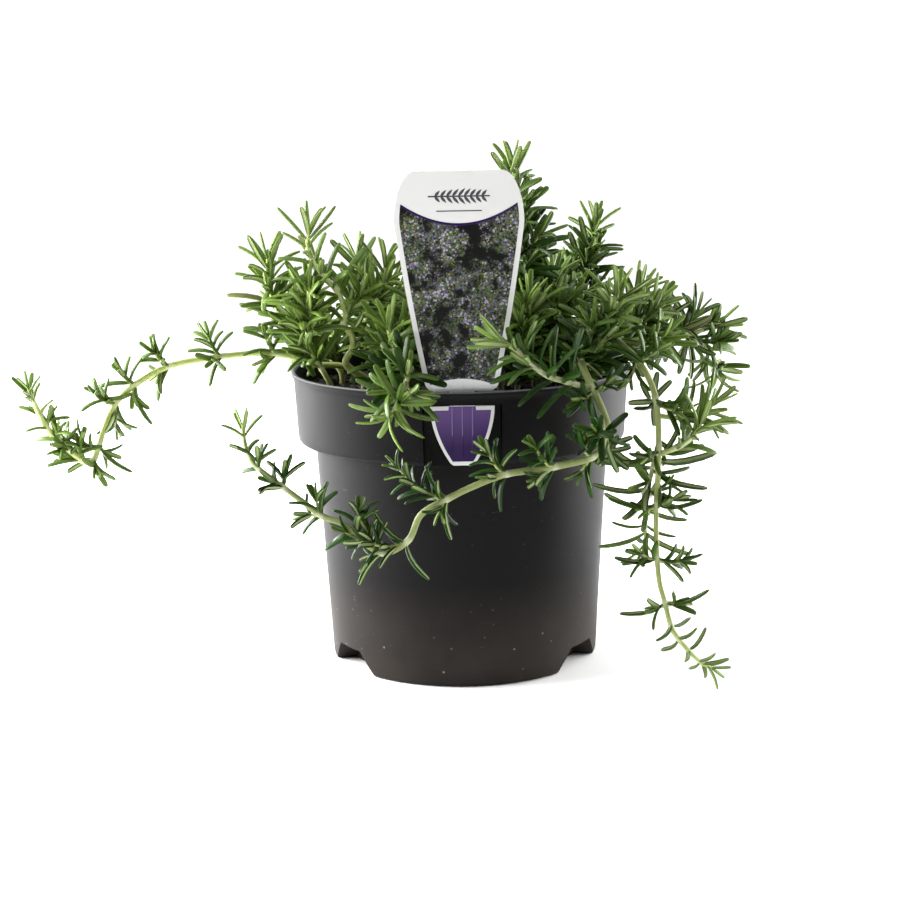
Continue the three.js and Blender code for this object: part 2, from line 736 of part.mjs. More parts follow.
// One leaf from a point of a stem: it leaves along the wanted direction, or the nearest
// turned one that is clear of everything else. Nothing grows where none is.
function growLeaf(owner, leaves, place, wanted, length) {
  const { point, tangent, radius } = place;
  for (const turn of TRY_TURNS) {
    const direction = wanted.clone().applyAxisAngle(tangent, THREE.MathUtils.degToRad(turn)).normalize();
    const face = tangent.clone().addScaledVector(direction, -tangent.dot(direction)).normalize();
    const root = point.clone().addScaledVector(direction, -ROOT_DEPTH * radius);
    const leaf = { root, direction, face, length };
    if (isClear(owner, leaf)) {
      leaves.push(leaf);
      const middle = root.clone().addScaledVector(direction, 0.5 * length)
        .addScaledVector(face, -LEAF_ARCH * length);
      const tip = root.clone().addScaledVector(direction, length);
      addCapsules(owner, [root, middle, tip], LEAF_WIDTH / 2 + 0.15);
      return;
    }
  }
}

// The direction square to a stem that is nearest to upright, or to +X on an upright stem.
function squareTo(tangent) {
  const lead = Math.abs(tangent.z) > 0.93 ? new THREE.Vector3(1, 0, 0) : UP.clone();
  return lead.addScaledVector(tangent, -tangent.dot(lead)).normalize();
}

// A direction that leaves a place on a stem sideways, turned about the stem.
function leaning({ tangent }, turn, { out, forward, upward }) {
  return squareTo(tangent).applyAxisAngle(tangent, turn).multiplyScalar(out)
    .addScaledVector(tangent, forward).addScaledVector(UP, upward);
}

// The place at a length along a curve.
function placeOn({ curve, radius }, along) {
  const part = along / curve.getLength();
  return { point: curve.getPointAt(part), tangent: curve.getTangentAt(part), radius: radiusAt(radius, part) };
}

// A short shoot in a leaf joint: a stalk with leaf pairs, or only a tuft of two leaves where
// it is too short for a stalk.
function growTwig(owner, leaves, twigs, line, along, turn, length, between) {
  const place = placeOn(line, along + TWIG_OFFSET);
  const long = THREE.MathUtils.smoothstep(length, TWIG_LENGTH, LYING_LENGTH);
  const way = leaning(place, turn, TWIG_LEAN)
    .lerp(leaning(place, turn, LYING_LEAN), long * (1 - place.tangent.z ** 2)).normalize();
  const end = place.point.clone().addScaledVector(way, length);
  const open = isOpenPlace(end, 3) && isOpenPlace(place.point.clone().lerp(end, 0.5), 1.5);
  if (length < TWIG_LENGTH || !open) {
    for (const side of [0.6, -0.6]) {
      const knot = placeOn(line, along + TWIG_OFFSET * (1.6 + side));
      growLeaf(owner, leaves, knot, leaning(knot, turn + side, TWIG_LEAF_LEAN), between(TUFT_LENGTH));
    }
    return;
  }
  const twig = { curve: new THREE.LineCurve3(place.point, end), radius: TWIG_RADIUS };
  twigs.push(twig);
  addCapsules(owner, [place.point, end], TWIG_RADIUS[0]);
  const pairs = Math.max(1, Math.floor(length / TWIG_PAIR_SPACING));
  for (let pair = 1; pair <= pairs; pair += 1) {
    const knot = placeOn(twig, length * (pair / pairs - 0.08));
    for (const opposite of [0, Math.PI]) {
      const spread = (pair * Math.PI) / 2 + opposite;
      growLeaf(owner, leaves, knot, leaning(knot, spread, TWIG_LEAF_LEAN), between(TUFT_LENGTH));
    }
  }
}

// The leaves of one stem or shoot: pairs that turn by a quarter from joint to joint, short
// shoots in the joints of a trailing stem, and a spray of leaves round the tip.
function growLeaves(owner, leaves, twigs, line, random) {
  const length = line.curve.getLength();
  const between = ([low, high]) => low + (high - low) * random();
  const grow = (place, turn, lean, lengths) => {
    growLeaf(owner, leaves, place, leaning(place, turn, lean), between(lengths));
  };

  let turn = random() * Math.PI;
  if (line.joints) {
    for (const [along, degrees, ...shoots] of line.joints) {
      const joint = placeOn(line, along);
      turn = THREE.MathUtils.degToRad(degrees);
      grow(joint, turn, PAIR_LEAN, LEAF_LENGTH);
      grow(joint, turn + Math.PI, PAIR_LEAN, LEAF_LENGTH);
      shoots.forEach((size, i) => {
        if (size > TUFT_LEAST) growTwig(owner, leaves, twigs, line, along, turn + i * Math.PI, size, between);
      });
    }
  } else {
    for (let along = line.bare; along < length - TIP_LENGTH; along += LEAF_SPACING * (0.9 + 0.2 * random())) {
      const joint = placeOn(line, along);
      grow(joint, turn, PAIR_LEAN, LEAF_LENGTH);
      grow(joint, turn + Math.PI, PAIR_LEAN, LEAF_LENGTH);
      turn += Math.PI / 2 + 0.3 * (random() - 0.5);
    }
  }
  for (let i = 0; i < TIP_LEAVES; i += 1) {
    const along = length - 0.8 - TIP_STAGGER * i;
    grow(placeOn(line, along), turn + GOLDEN_TURN * i, TIP_LEAN, TUFT_LENGTH);
  }
}

function makeStems() {
  const random = makeRandom(SEED);
  for (const stem of stems) {
    stem.lines = [
      { curve: stemCurve(stem), radius: stem.radius, bare: stem.bare, joints: stem.joints },
      ...stem.shoots.map((shoot) => ({ curve: shootCurve(shoot), radius: shoot.radius, bare: SHOOT_BARE })),
    ];
    for (const { curve, radius } of stem.lines) {
      const points = curve.getSpacedPoints(Math.ceil(curve.getLength() / 4));
      addCapsules(stem.name, points, Math.max(...radius));
    }
  }
  return stems.map((stem) => {
    const leaves = [];
    const twigs = [];
    for (const line of stem.lines) growLeaves(stem.name, leaves, twigs, line, random);
    const bars = [...stem.lines, ...twigs].map(({ curve, radius }) => stemSolid(curve, radius));
    const whole = wasm.Manifold.union([...bars, ...leaves.map(leafSolid)]);
    return meshOf(stem.name, largestBody(whole), colours.leaf, 0.5);
  });
}

// ---- The whole part ----

const group = new THREE.Group();
group.add(meshOf("pot", makePot(), colours.pot, 0.42));
group.add(meshOf("soil", makeSoil(), colours.soil, 0.95));
group.add(meshOf("plant_label", makeLabel(), colours.label, 0.35));
makeStems().forEach((mesh) => group.add(mesh));

export default group;
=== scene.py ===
"""A trailing rosemary in a black nursery pot, with its soil and a plain plant label.

Sizes are in millimetres, and make_piece turns them into metres. Sizes in a material are in metres.
+Z is up, the origin is the centre of the pot's base, and -Y is the front, where the label stands.
"""

import bpy
import numpy as np
from mathutils import Matrix, Vector


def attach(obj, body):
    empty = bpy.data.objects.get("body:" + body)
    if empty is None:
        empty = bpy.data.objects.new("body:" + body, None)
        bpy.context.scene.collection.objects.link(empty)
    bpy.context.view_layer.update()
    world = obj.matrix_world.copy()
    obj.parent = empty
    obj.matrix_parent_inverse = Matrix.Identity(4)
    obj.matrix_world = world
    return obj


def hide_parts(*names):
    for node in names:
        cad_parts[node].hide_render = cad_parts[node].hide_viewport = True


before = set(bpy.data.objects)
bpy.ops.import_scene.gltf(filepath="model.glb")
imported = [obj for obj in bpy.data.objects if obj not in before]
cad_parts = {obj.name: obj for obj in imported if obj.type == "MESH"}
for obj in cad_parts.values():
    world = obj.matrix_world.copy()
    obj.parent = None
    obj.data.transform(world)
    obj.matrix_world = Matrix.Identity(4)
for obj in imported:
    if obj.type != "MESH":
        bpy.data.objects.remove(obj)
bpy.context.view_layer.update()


# ---- Pot ----
# A nursery pot, injection-moulded in one shot from black polypropylene. A wide collar stands on the
# tapered body so that pots stack, its front is pressed in to hold a label, and the corner of the
# base is cut away in four places to drain.

# Heights and radii are in mm, and the EDGE values are turns from the middle of the front, or from
# the middle of a notch, in degrees. CRISP is half the gap between the two columns at an edge, and
# CLOSE is half the gap between two rings at an edge.
POT_COLUMNS = 288
WALL = 1.3
RIM_TOP = 120.5
STEP = 91.5
FLOOR = 1.6
RECESS_EDGE = 12.8
RECESS_FACE = 64.2
RECESS_TOP = 115.3
POCKET_EDGE = 14.0
POCKET_FACE = 62.9
LEDGE = 120.2
LEDGE_LOW = 119.5
LEDGE_HIGH = 120.3
LEDGE_REACH = 68.25
SLOT_EDGE = 5.2
SLOT_DEPTH = 3.6
NOTCH_TURNS = (58.5, 121.5, 238.5, 301.5)
NOTCH_EDGE = 12.0
NOTCH_TOP = 9.5
NOTCH_BACK = 45.3
DRAIN_EDGE = 5.0
DRAIN_LOW = 3.0
DRAIN_HIGH = 6.0
CRISP = 0.09
NOTCH_CRISP = 0.08
CLOSE = 0.03

# The pot's section as corners (radius, height, how far the corner is rounded off): the outside from
# the middle of the base up to the rim, and the inside from the rim down to the middle of the floor.
pot_outside = (
    (0, 0, 0), (55.3, 0, 1.8), (60.5, STEP, 0.8), (67.4, STEP, 2.2), (68.75, 117.6, 1.0),
    (69.9, 119.3, 0.5), (70, RIM_TOP, 0.5), (69.25, RIM_TOP, 0),
)
pot_inside = (
    (69.2, RIM_TOP, 0), (68.5, RIM_TOP, 0.5), (67.45, 117.6, 1.0), (66.1, STEP + WALL, 1.5),
    (59.2, STEP + WALL, 0.8), (54.0, FLOOR, 1.0), (0, FLOOR, 0),
)


def rounded(corners, steps=5):
    """A line through (radius, height) corners. Each corner is rounded off by a parabola that
    starts and ends at the given distance from it, or nearer where the sides are short."""
    place = np.array([corner[:2] for corner in corners], float)
    line = [place[0]]
    for i in range(1, len(place) - 1):
        before, after = place[i - 1] - place[i], place[i + 1] - place[i]
        reach = [min(corners[i][2], 0.45 * np.linalg.norm(side)) for side in (before, after)]
        start = place[i] + before / np.linalg.norm(before) * reach[0]
        end = place[i] + after / np.linalg.norm(after) * reach[1]
        t = np.linspace(0, 1, steps)[:, None]
        line.extend((1 - t) ** 2 * start + 2 * t * (1 - t) * place[i] + t ** 2 * end)
    line.append(place[-1])
    return np.array(line)


def with_heights(line, heights):
    """The same line with further points where it passes the given heights."""
    along = np.r_[0, np.cumsum(np.linalg.norm(np.diff(line, axis=0), axis=1))]
    order = np.argsort(line[:, 1], kind="stable")
    more = np.interp(heights, line[order, 1], along[order])
    along_all = np.unique(np.r_[along, more])
    return np.stack([np.interp(along_all, along, line[:, k]) for k in (0, 1)], axis=1)


def skin(rings, columns):
    """Corner numbers of a closed skin over rings of points. Point 0 and the last point are the
    poles, and column j of ring i is point 1 + i * columns + j. Returns quads and triangles."""
    i, j = np.meshgrid(np.arange(rings - 1), np.arange(columns), indexing="ij")
    here, beside = 1 + i * columns + j, 1 + i * columns + (j + 1) % columns
    quads = np.stack([here, beside, beside + columns, here + columns], axis=-1).reshape(-1, 4)
    j = np.arange(columns)
    last = 1 + (rings - 1) * columns
    start = np.stack([np.zeros_like(j), 1 + (j + 1) % columns, 1 + j], axis=-1)
    end = np.stack([np.full_like(j, last + columns), last + j, last + (j + 1) % columns], axis=-1)
    return quads, np.concatenate([start, end])


def make_piece(name, points, faces, *materials, sharp=38):
    """A mesh object from points in mm and lists of corner numbers. Edges that turn more than sharp
    degrees stay crisp, and the others are shaded smooth."""
    mesh = bpy.data.meshes.new(name)
    corners = [corner for group in faces for corner in np.asarray(group).tolist()]
    mesh.from_pydata((np.asarray(points, float) * 0.001).tolist(), [], corners)
    mesh.validate()
    for material in materials:
        mesh.materials.append(material)
    mesh.shade_smooth()
    mesh.set_sharp_from_angle(angle=np.radians(sharp))
    piece = bpy.data.objects.new(name, mesh)
    bpy.context.scene.collection.objects.link(piece)
    return piece


def colour(code):
    """An sRGB hex colour as linear red, green, blue and alpha."""
    part = np.array([int(code[i:i + 2], 16) / 255 for i in (1, 3, 5)])
    linear = np.where(part <= 0.04045, part / 12.92, ((part + 0.055) / 1.055) ** 2.4)
    return (*linear.tolist(), 1.0)


def add_node(tree, kind, settings, **links):
    """Adds one shader node. A key of settings is a property of the node, or the name or number of
    a socket whose value it sets; in_NAME joins the output given to the socket NAME or number."""
    node = tree.nodes.new(kind)
    for key, value in settings.items():
        if key in node.bl_rna.properties.keys():
            setattr(node, key, value)
        else:
            node.inputs[key].default_value = value
    for key, output in links.items():
        socket = key[3:].replace("_", " ")
        tree.links.new(output, node.inputs[int(socket) if socket.isdigit() else socket])
    return node


def start_material(name, **settings):
    """A material with one Principled shader. Returns the material, its node tree, the shader and
    the Object coordinates."""
    material = bpy.data.materials.new(name)
    material.use_nodes = True
    tree = material.node_tree
    tree.nodes.clear()
    named = {key.replace("_", " "): value for key, value in settings.items()}
    shader = add_node(tree, "ShaderNodeBsdfPrincipled", named)
    add_node(tree, "ShaderNodeOutputMaterial", {}, in_Surface=shader.outputs[0])
    place = add_node(tree, "ShaderNodeTexCoord", {}).outputs["Object"]
    return material, tree, shader, place


# The section as one line. Pairs of close heights keep the upper edges of the notches and of the
# recess crisp. The ledge's points lie just under the rim, and become the pocket's ledge in front.
outside = with_heights(
    rounded(pot_outside),
    [2.3, DRAIN_LOW, DRAIN_HIGH, 7.6, NOTCH_TOP - CLOSE, NOTCH_TOP + CLOSE, 12, 16, 22, 30, 40,
     50, 60, 70, 80, 88, 92.5, 96, 104, 111, RECESS_TOP - CLOSE, RECESS_TOP + CLOSE, 116.4],
)
ledge = np.array(
    [[68.2, 120.2], [68.1, 120.1], [68.1, 120.0], [68.0, 119.9], [68.0, 119.8], [67.9, 119.7]],
)
lining_top = NOTCH_TOP + WALL
inside = with_heights(
    rounded(pot_inside),
    [112, 106, 98, 80, 60, 40, 20, lining_top + CLOSE, lining_top - CLOSE, 8.2, DRAIN_HIGH, DRAIN_LOW],
)
above = inside[:, 1] > LEDGE_HIGH
below = inside[:, 1] < LEDGE_LOW
profile = np.vstack([outside, inside[above], ledge, inside[below]])
first_ledge = len(outside) + above.sum() - 1
is_outer = np.arange(len(profile)) < len(outside)
profile, is_outer = profile[1:-1], is_outer[1:-1]

# The columns around the pot. Each edge has a pair of close columns, so that it stays crisp.
pot_turn = 360 * np.arange(POT_COLUMNS) / POT_COLUMNS
for edge in (RECESS_EDGE, POCKET_EDGE, SLOT_EDGE):
    for at in (edge, 360 - edge):
        pot_turn = np.r_[pot_turn, at - CRISP, at + CRISP]
for centre in NOTCH_TURNS:
    for at in (centre - NOTCH_EDGE, centre + NOTCH_EDGE):
        pot_turn = np.r_[pot_turn, at - NOTCH_CRISP, at + NOTCH_CRISP]
pot_turn = np.unique(pot_turn)
pot_turn = np.where(pot_turn > 180, pot_turn - 360, pot_turn)

radius = np.repeat(profile[:, :1], len(pot_turn), axis=1)
height = np.repeat(profile[:, 1:], len(pot_turn), axis=1)
turn = np.repeat(pot_turn[None], len(profile), axis=0)
outer = is_outer[:, None]

# Each drain notch narrows upwards, so its columns lean in to follow its slanted sides. Its back wall
# is flat: a plane lies at its distance divided by the cosine of the turn.
for centre in NOTCH_TURNS:
    off = (pot_turn - centre + 180) % 360 - 180
    narrowing = np.interp(height, [0, NOTCH_TOP, 20], [5, -4, 0])
    reach = np.interp(abs(off), [0, NOTCH_EDGE, 26], [0, 1, 0])
    lean = narrowing * reach[None] * np.sign(off)[None]
    turn = turn + lean
    notch_top = np.where(outer, NOTCH_TOP, lining_top)
    in_notch = (abs(off) < NOTCH_EDGE)[None] & (height < notch_top)
    flat = np.where(outer, NOTCH_BACK, NOTCH_BACK - WALL) / np.cos(np.radians(off[None] + lean))
    radius = np.where(in_notch, np.minimum(radius, flat), radius)

# The recess and the pocket wall behind it are flat, and they run down to the step.
front = np.cos(np.radians(turn))
in_recess = outer & (abs(turn) < RECESS_EDGE) & (height > STEP - 1) & (height < RECESS_TOP)
radius = np.where(in_recess, np.minimum(radius, RECESS_FACE / front), radius)
in_pocket = ~outer & (abs(turn) < POCKET_EDGE) & (height > STEP - 0.5) & (height < LEDGE_HIGH)
radius = np.where(in_pocket, np.minimum(radius, POCKET_FACE / front), radius)

# The pocket's ledge under the rim, with the slot that the label's neck goes down through.
rows = first_ledge + np.arange(len(ledge))
across = abs(turn[rows]) < POCKET_EDGE
in_slot = abs(turn[rows]) < SLOT_EDGE
ledge_face = np.array([68.2, 67.5, 67.5, 64.5, 64.5, POCKET_FACE])[:, None]
slot_height = LEDGE - SLOT_DEPTH * np.array([0, 0, 1, 1, 0, 0])[:, None]
on_ledge = np.minimum(ledge_face / front[rows], LEDGE_REACH)
radius[rows] = np.where(across, on_ledge, radius[rows])
height[rows] = np.where(across, np.where(in_slot, slot_height, LEDGE), height[rows])

angle = np.radians(turn)
rings = np.stack([radius * np.sin(angle), -radius * np.cos(angle), height], axis=-1)
pot_points = np.vstack([[[0, 0, 0]], rings.reshape(-1, 3), [[0, 0, FLOOR]]])

# A drain hole goes through the back wall of each notch: the faces of both sides of the wall are left
# out there, and the hole gets a lining between the same columns of the two sides.
quads, pot_caps = skin(len(profile), len(pot_turn))
quads = quads.reshape(len(profile) - 1, len(pot_turn), 4)
hole_low, back_low, hole_high, back_high = (
    int(np.flatnonzero(side & (abs(profile[:, 1] - z) < 1e-6))[0])
    for z in (DRAIN_LOW, DRAIN_HIGH) for side in (is_outer, ~is_outer)
)
in_hole = np.zeros(len(pot_turn), bool)
for centre in NOTCH_TURNS:
    in_hole |= abs((pot_turn - centre + 180) % 360 - 180) < DRAIN_EDGE
column = np.flatnonzero(in_hole & np.roll(in_hole, -1))
first = column[~np.isin(column - 1, column)]
last = column[~np.isin(column + 1, column)] + 1


def corner_at(row, at):
    """The number of the corner in a row of the profile and a column."""
    return 1 + row * len(pot_turn) + at


lining = [
    np.stack([corner_at(hole_low, column), corner_at(hole_low, column + 1),
              corner_at(back_low, column + 1), corner_at(back_low, column)], axis=-1),
    np.stack([corner_at(hole_high, column + 1), corner_at(hole_high, column),
              corner_at(back_high, column), corner_at(back_high, column + 1)], axis=-1),
    np.stack([corner_at(hole_high, first), corner_at(hole_low, first),
              corner_at(back_low, first), corner_at(back_high, first)], axis=-1),
    np.stack([corner_at(hole_low, last), corner_at(hole_high, last),
              corner_at(back_high, last), corner_at(back_low, last)], axis=-1),
]
kept = np.ones(quads.shape[:2], bool)
kept[hole_low, column] = False
kept[back_high, column] = False
pot_faces = [quads[kept], *lining, pot_caps]

# Satin moulded polypropylene: nearly black, with a soft sheen, fine mould grain, a painted highlight
# along the rim's top edge, hair-thin level scuffs, and specks of dried soil and dust that gather low
# on the body. The grain is drawn 0.7 mm wide, coarser than it is, so that it shows.
pot_plastic, tree, shader, place = start_material(
    "black_polypropylene_satin_moulded", IOR=1.49, Specular_IOR_Level=0.08,
)
height_of = add_node(tree, "ShaderNodeSeparateXYZ", {}, in_0=place).outputs["Z"]
cloud = add_node(tree, "ShaderNodeTexNoise", {"Scale": 28, "Detail": 4}, in_Vector=place).outputs[0]
dust_low = add_node(
    tree, "ShaderNodeMapRange", {"From Min": 0.008, "From Max": 0.042, "To Min": 1, "To Max": 0.08},
    in_Value=height_of,
).outputs[0]
dusty = add_node(
    tree, "ShaderNodeMath", {"operation": "MULTIPLY"}, in_0=dust_low, in_1=cloud,
).outputs[0]
surface_colour = add_node(
    tree, "ShaderNodeMix", {"data_type": "RGBA", 6: colour("#060607"), 7: colour("#39332e")},
    in_0=dusty,
).outputs[2]
# Specks of up to 1 mm: the middle of some of the cells, fainter higher up.
cells = add_node(tree, "ShaderNodeTexVoronoi", {"Scale": 250}, in_Vector=place)
speck = add_node(
    tree, "ShaderNodeMapRange", {"From Min": 0.14, "From Max": 0.05},
    in_Value=cells.outputs["Distance"],
).outputs[0]
chosen = add_node(tree, "ShaderNodeSeparateColor", {}, in_Color=cells.outputs["Color"]).outputs[0]
rare = add_node(
    tree, "ShaderNodeMapRange", {"From Min": 0.4, "From Max": 0.75}, in_Value=chosen,
).outputs[0]
for mask in (rare, dust_low):
    speck = add_node(
        tree, "ShaderNodeMath", {"operation": "MULTIPLY"}, in_0=speck, in_1=mask,
    ).outputs[0]
# Scuffs: the peaks of a noise that is six times finer upwards than around.
scuff_space = add_node(
    tree, "ShaderNodeVectorMath", {"operation": "MULTIPLY", 1: (1.0, 1.0, 6.0)}, in_0=place,
).outputs[0]
scuff = add_node(
    tree, "ShaderNodeTexNoise", {"Scale": 95, "Detail": 3}, in_Vector=scuff_space,
).outputs[0]
scuff = add_node(
    tree, "ShaderNodeMapRange", {"From Min": 0.715, "From Max": 0.79, "To Max": 0.5},
    in_Value=scuff,
).outputs[0]
# Painted highlight: everything above 119.9 mm, the rim's top edge, is paler, as if it caught the light.
painted_rim_highlight = add_node(
    tree, "ShaderNodeMapRange", {"From Min": 0.1199, "From Max": 0.1204, "To Max": 0.75},
    in_Value=height_of,
).outputs[0]
for mask, tone in ((speck, "#7d705e"), (scuff, "#4b4a47"), (painted_rim_highlight, "#77777a")):
    surface_colour = add_node(
        tree, "ShaderNodeMix", {"data_type": "RGBA", 7: colour(tone)}, in_0=mask, in_6=surface_colour,
    ).outputs[2]
tree.links.new(surface_colour, shader.inputs["Base Color"])
gloss = add_node(
    tree, "ShaderNodeMapRange", {"From Min": 0.3, "From Max": 0.7, "To Min": 0.43, "To Max": 0.53},
    in_Value=cloud,
).outputs[0]
tree.links.new(gloss, shader.inputs["Roughness"])
grain = add_node(tree, "ShaderNodeTexNoise", {"Scale": 1400, "Detail": 2}, in_Vector=place).outputs[0]
relief = add_node(
    tree, "ShaderNodeBump", {"Strength": 0.12, "Distance": 0.0001}, in_Height=grain,
).outputs[0]
tree.links.new(relief, shader.inputs["Normal"])

pot = make_piece("nursery_pot", pot_points, pot_faces, pot_plastic)
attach(pot, "root")
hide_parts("pot")


# ---- Soil ----
# Peat-based potting soil, poured in and settled to about 8 mm below the rim. Its top is a bed of
# dark crumbs with chips of bark and fibre. Only the upper 18 mm of the filling are made, because
# the pot hides the rest.

SOIL_LEVEL = 112.0
SOIL_FOOT = 94.0
SOIL_RADIUS = 66.4
SOIL_FRONT = 62.2
SOIL_FRONT_EDGE = 14.6
SOIL_COLUMNS = 180
TOP_RINGS = 34
CRUMBS = 1500
CHIPS = 110
CRUMB_RADIUS = 64.2
CRUMB_FRONT = 59.5
CRUMB_FRONT_EDGE = 15

random = np.random.default_rng(41)


def lumpy(x, y):
    """The soil's height above its level: a few broad waves and some finer ones."""
    broad = 0.8 * np.sin(x / 7.3 + 1) * np.cos(y / 6.1)
    fine = 0.35 * np.sin(x / 2.1 + 0.4 * y) * np.cos(y / 1.7 - 0.3 * x)
    return broad + fine


# The filling follows the pot's inner wall, which is flat behind the label's pocket.
turn = np.radians(360 * np.arange(SOIL_COLUMNS) / SOIL_COLUMNS)[None]
from_front = abs(np.degrees(np.arctan2(np.sin(turn), np.cos(turn))))
wall = np.where(from_front < SOIL_FRONT_EDGE, SOIL_FRONT / np.cos(turn), SOIL_RADIUS)
top_part = np.r_[1.0, 0.985, np.linspace(0.95, 0.03, TOP_RINGS)][:, None]
top_x, top_y = top_part * wall * np.sin(turn), -top_part * wall * np.cos(turn)
edge_drop = np.array([-0.8, -0.1] + [0] * TOP_RINGS)[:, None]
top_z = SOIL_LEVEL + lumpy(top_x, top_y) + edge_drop
low_part = np.array([0.3, 0.94, 0.94])[:, None]
low_x, low_y = low_part * wall * np.sin(turn), -low_part * wall * np.cos(turn)
low_z = SOIL_FOOT + np.array([0, 0, 1.5])[:, None] + 0 * turn
rings = np.stack(
    [np.vstack([low_x, top_x]), np.vstack([low_y, top_y]), np.vstack([low_z, top_z])], axis=-1,
)
soil_points = np.vstack(
    [[[0, 0, SOIL_FOOT]], rings.reshape(-1, 3), [[0, 0, SOIL_LEVEL + lumpy(0, 0)]]],
)

# Each crumb is a small closed lump of five sides, stretched and turned at random, and the first
# ones are long flat chips. The root of an even draw spreads them evenly over the round soil.
lean = np.radians([-45, 0, 45])[:, None]
round_turn = np.radians(72 * np.arange(5))[None]
lump_rings = np.stack(
    [np.cos(lean) * np.cos(round_turn), np.cos(lean) * np.sin(round_turn),
     np.sin(lean) + 0 * round_turn],
    axis=-1,
)
lump = np.vstack([[[0, 0, -1]], lump_rings.reshape(-1, 3), [[0, 0, 1]]])


def copies(points, quads, triangles):
    """Joins copies of one shape. points is (copies, points, 3). Returns all points and faces."""
    offset = (np.arange(len(points)) * points.shape[1])[:, None, None]
    return points.reshape(-1, 3), [
        (quads[None] + offset).reshape(-1, 4),
        (triangles[None] + offset).reshape(-1, 3),
    ]


def random_turns(count):
    """Rotation matrices, spread evenly over all rotations, from random quaternions."""
    w, x, y, z = random.normal(size=(count, 4)).T
    size = np.sqrt(w * w + x * x + y * y + z * z)
    w, x, y, z = w / size, x / size, y / size, z / size
    return np.stack([
        np.stack([1 - 2 * (y * y + z * z), 2 * (x * y - z * w), 2 * (x * z + y * w)], axis=-1),
        np.stack([2 * (x * y + z * w), 1 - 2 * (x * x + z * z), 2 * (y * z - x * w)], axis=-1),
        np.stack([2 * (x * z - y * w), 2 * (y * z + x * w), 1 - 2 * (x * x + y * y)], axis=-1),
    ], axis=1)


size = random.uniform(0.35, 1.5, (CRUMBS, 1)) * random.uniform(0.55, 1.0, (CRUMBS, 3))
size[:CHIPS] = random.uniform([1.5, 0.5, 0.4], [3.6, 1.1, 0.8], (CHIPS, 3))
shape = lump[None] * size[:, None] * random.uniform(0.8, 1.2, (CRUMBS, len(lump), 1))
shape = np.einsum("nij,nkj->nki", random_turns(CRUMBS), shape)
spot_turn = random.uniform(-np.pi, np.pi, CRUMBS)
at_front = abs(np.degrees(spot_turn)) < CRUMB_FRONT_EDGE
spot_wall = np.where(at_front, CRUMB_FRONT, CRUMB_RADIUS)
spot = spot_wall * np.sqrt(random.uniform(0, 1, CRUMBS))
crumb_x, crumb_y = spot * np.sin(spot_turn), -spot * np.cos(spot_turn)
crumb_z = SOIL_LEVEL + lumpy(crumb_x, crumb_y) + 0.25 * size.min(axis=1)
shape = shape + np.stack([crumb_x, crumb_y, crumb_z], axis=-1)[:, None]
crumb_points, crumb_faces = copies(shape, *skin(3, 5))

# Damp peat and bark: dark brown, matt and grainy, with patches of 2 mm drier and paler than others.
potting_soil, tree, shader, place = start_material("potting_soil_damp_peat", Roughness=0.93)
patch = add_node(tree, "ShaderNodeTexNoise", {"Scale": 420, "Detail": 5}, in_Vector=place).outputs[0]
contrast = add_node(
    tree, "ShaderNodeMapRange", {"From Min": 0.38, "From Max": 0.66}, in_Value=patch,
).outputs[0]
soil_colour = add_node(
    tree, "ShaderNodeMix", {"data_type": "RGBA", 6: colour("#0d0b07"), 7: colour("#2a2515")},
    in_0=contrast,
).outputs[2]
tree.links.new(soil_colour, shader.inputs["Base Color"])
relief = add_node(
    tree, "ShaderNodeBump", {"Strength": 0.8, "Distance": 0.0008}, in_Height=patch,
).outputs[0]
tree.links.new(relief, shader.inputs["Normal"])

soil = make_piece("soil_fill", soil_points, skin(rings.shape[0], SOIL_COLUMNS), potting_soil)
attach(soil, "root")
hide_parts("soil")
crumbs = make_piece("soil_crumbs", crumb_points, crumb_faces, potting_soil, sharp=30)
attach(crumbs, "root")


# ---- Plant label ----
# A stick-in label, die-cut from 0.7 mm white polypropylene sheet and printed on its face. Its neck
# goes down through the slot in the pot's collar, and its tongue springs out below to lock it.

LABEL_Y = -66.0
LABEL_HALF_THICKNESS = 0.35
LABEL_FACE = LABEL_Y - LABEL_HALF_THICKNESS
LABEL_COLUMNS = 56
HEAD_FOOT = 120.5
HEAD_WIDEST = 184
TONGUE_FOOT = 91.9
NECK_HALF = 4.8
HEAD_BORDER = 1.9
TONGUE_BORDER = 1.3
PRINT_LIFT = 0.03
PRINT_SINK = 0.05
RIB_SPACING = 3.9
RIB_HALF_WIDTH = 0.28


def head_half(z):
    """Half the head's width: it widens from its foot along a slightly bowed side, and above
    the widest place it closes in a flat curve towards the top. A quarter circle of 3 mm rounds
    the corners of its foot."""
    part = np.clip((z - 121) / 63, 0, 1)
    side = 13.4 + 10.8 * (part + 0.25 * part * (1 - part))
    over = np.clip((z - HEAD_WIDEST) / 19, 0, 1)
    crown = 16.5 + 7.7 * np.maximum(1 - over ** 2, 0) ** 0.55
    corner = 3 - np.sqrt(np.maximum(9 - np.clip(3 - (z - HEAD_FOOT), 0, 3) ** 2, 0))
    return np.where(z < HEAD_WIDEST, side, crown) - corner


def tongue_half(z):
    """Half the tongue's width: a side bowed as a parabola, from a narrow end to wide shoulders.
    A quarter circle of 1.2 mm rounds the corners of the end."""
    part = np.clip((z - 92.3) / 23.3, 0, 1)
    end = 1.2 - np.sqrt(np.maximum(1.44 - np.clip(1.2 - (z - TONGUE_FOOT), 0, 1.2) ** 2, 0))
    return 4.5 + 7.8 * (1 - (1 - part) ** 2) - end


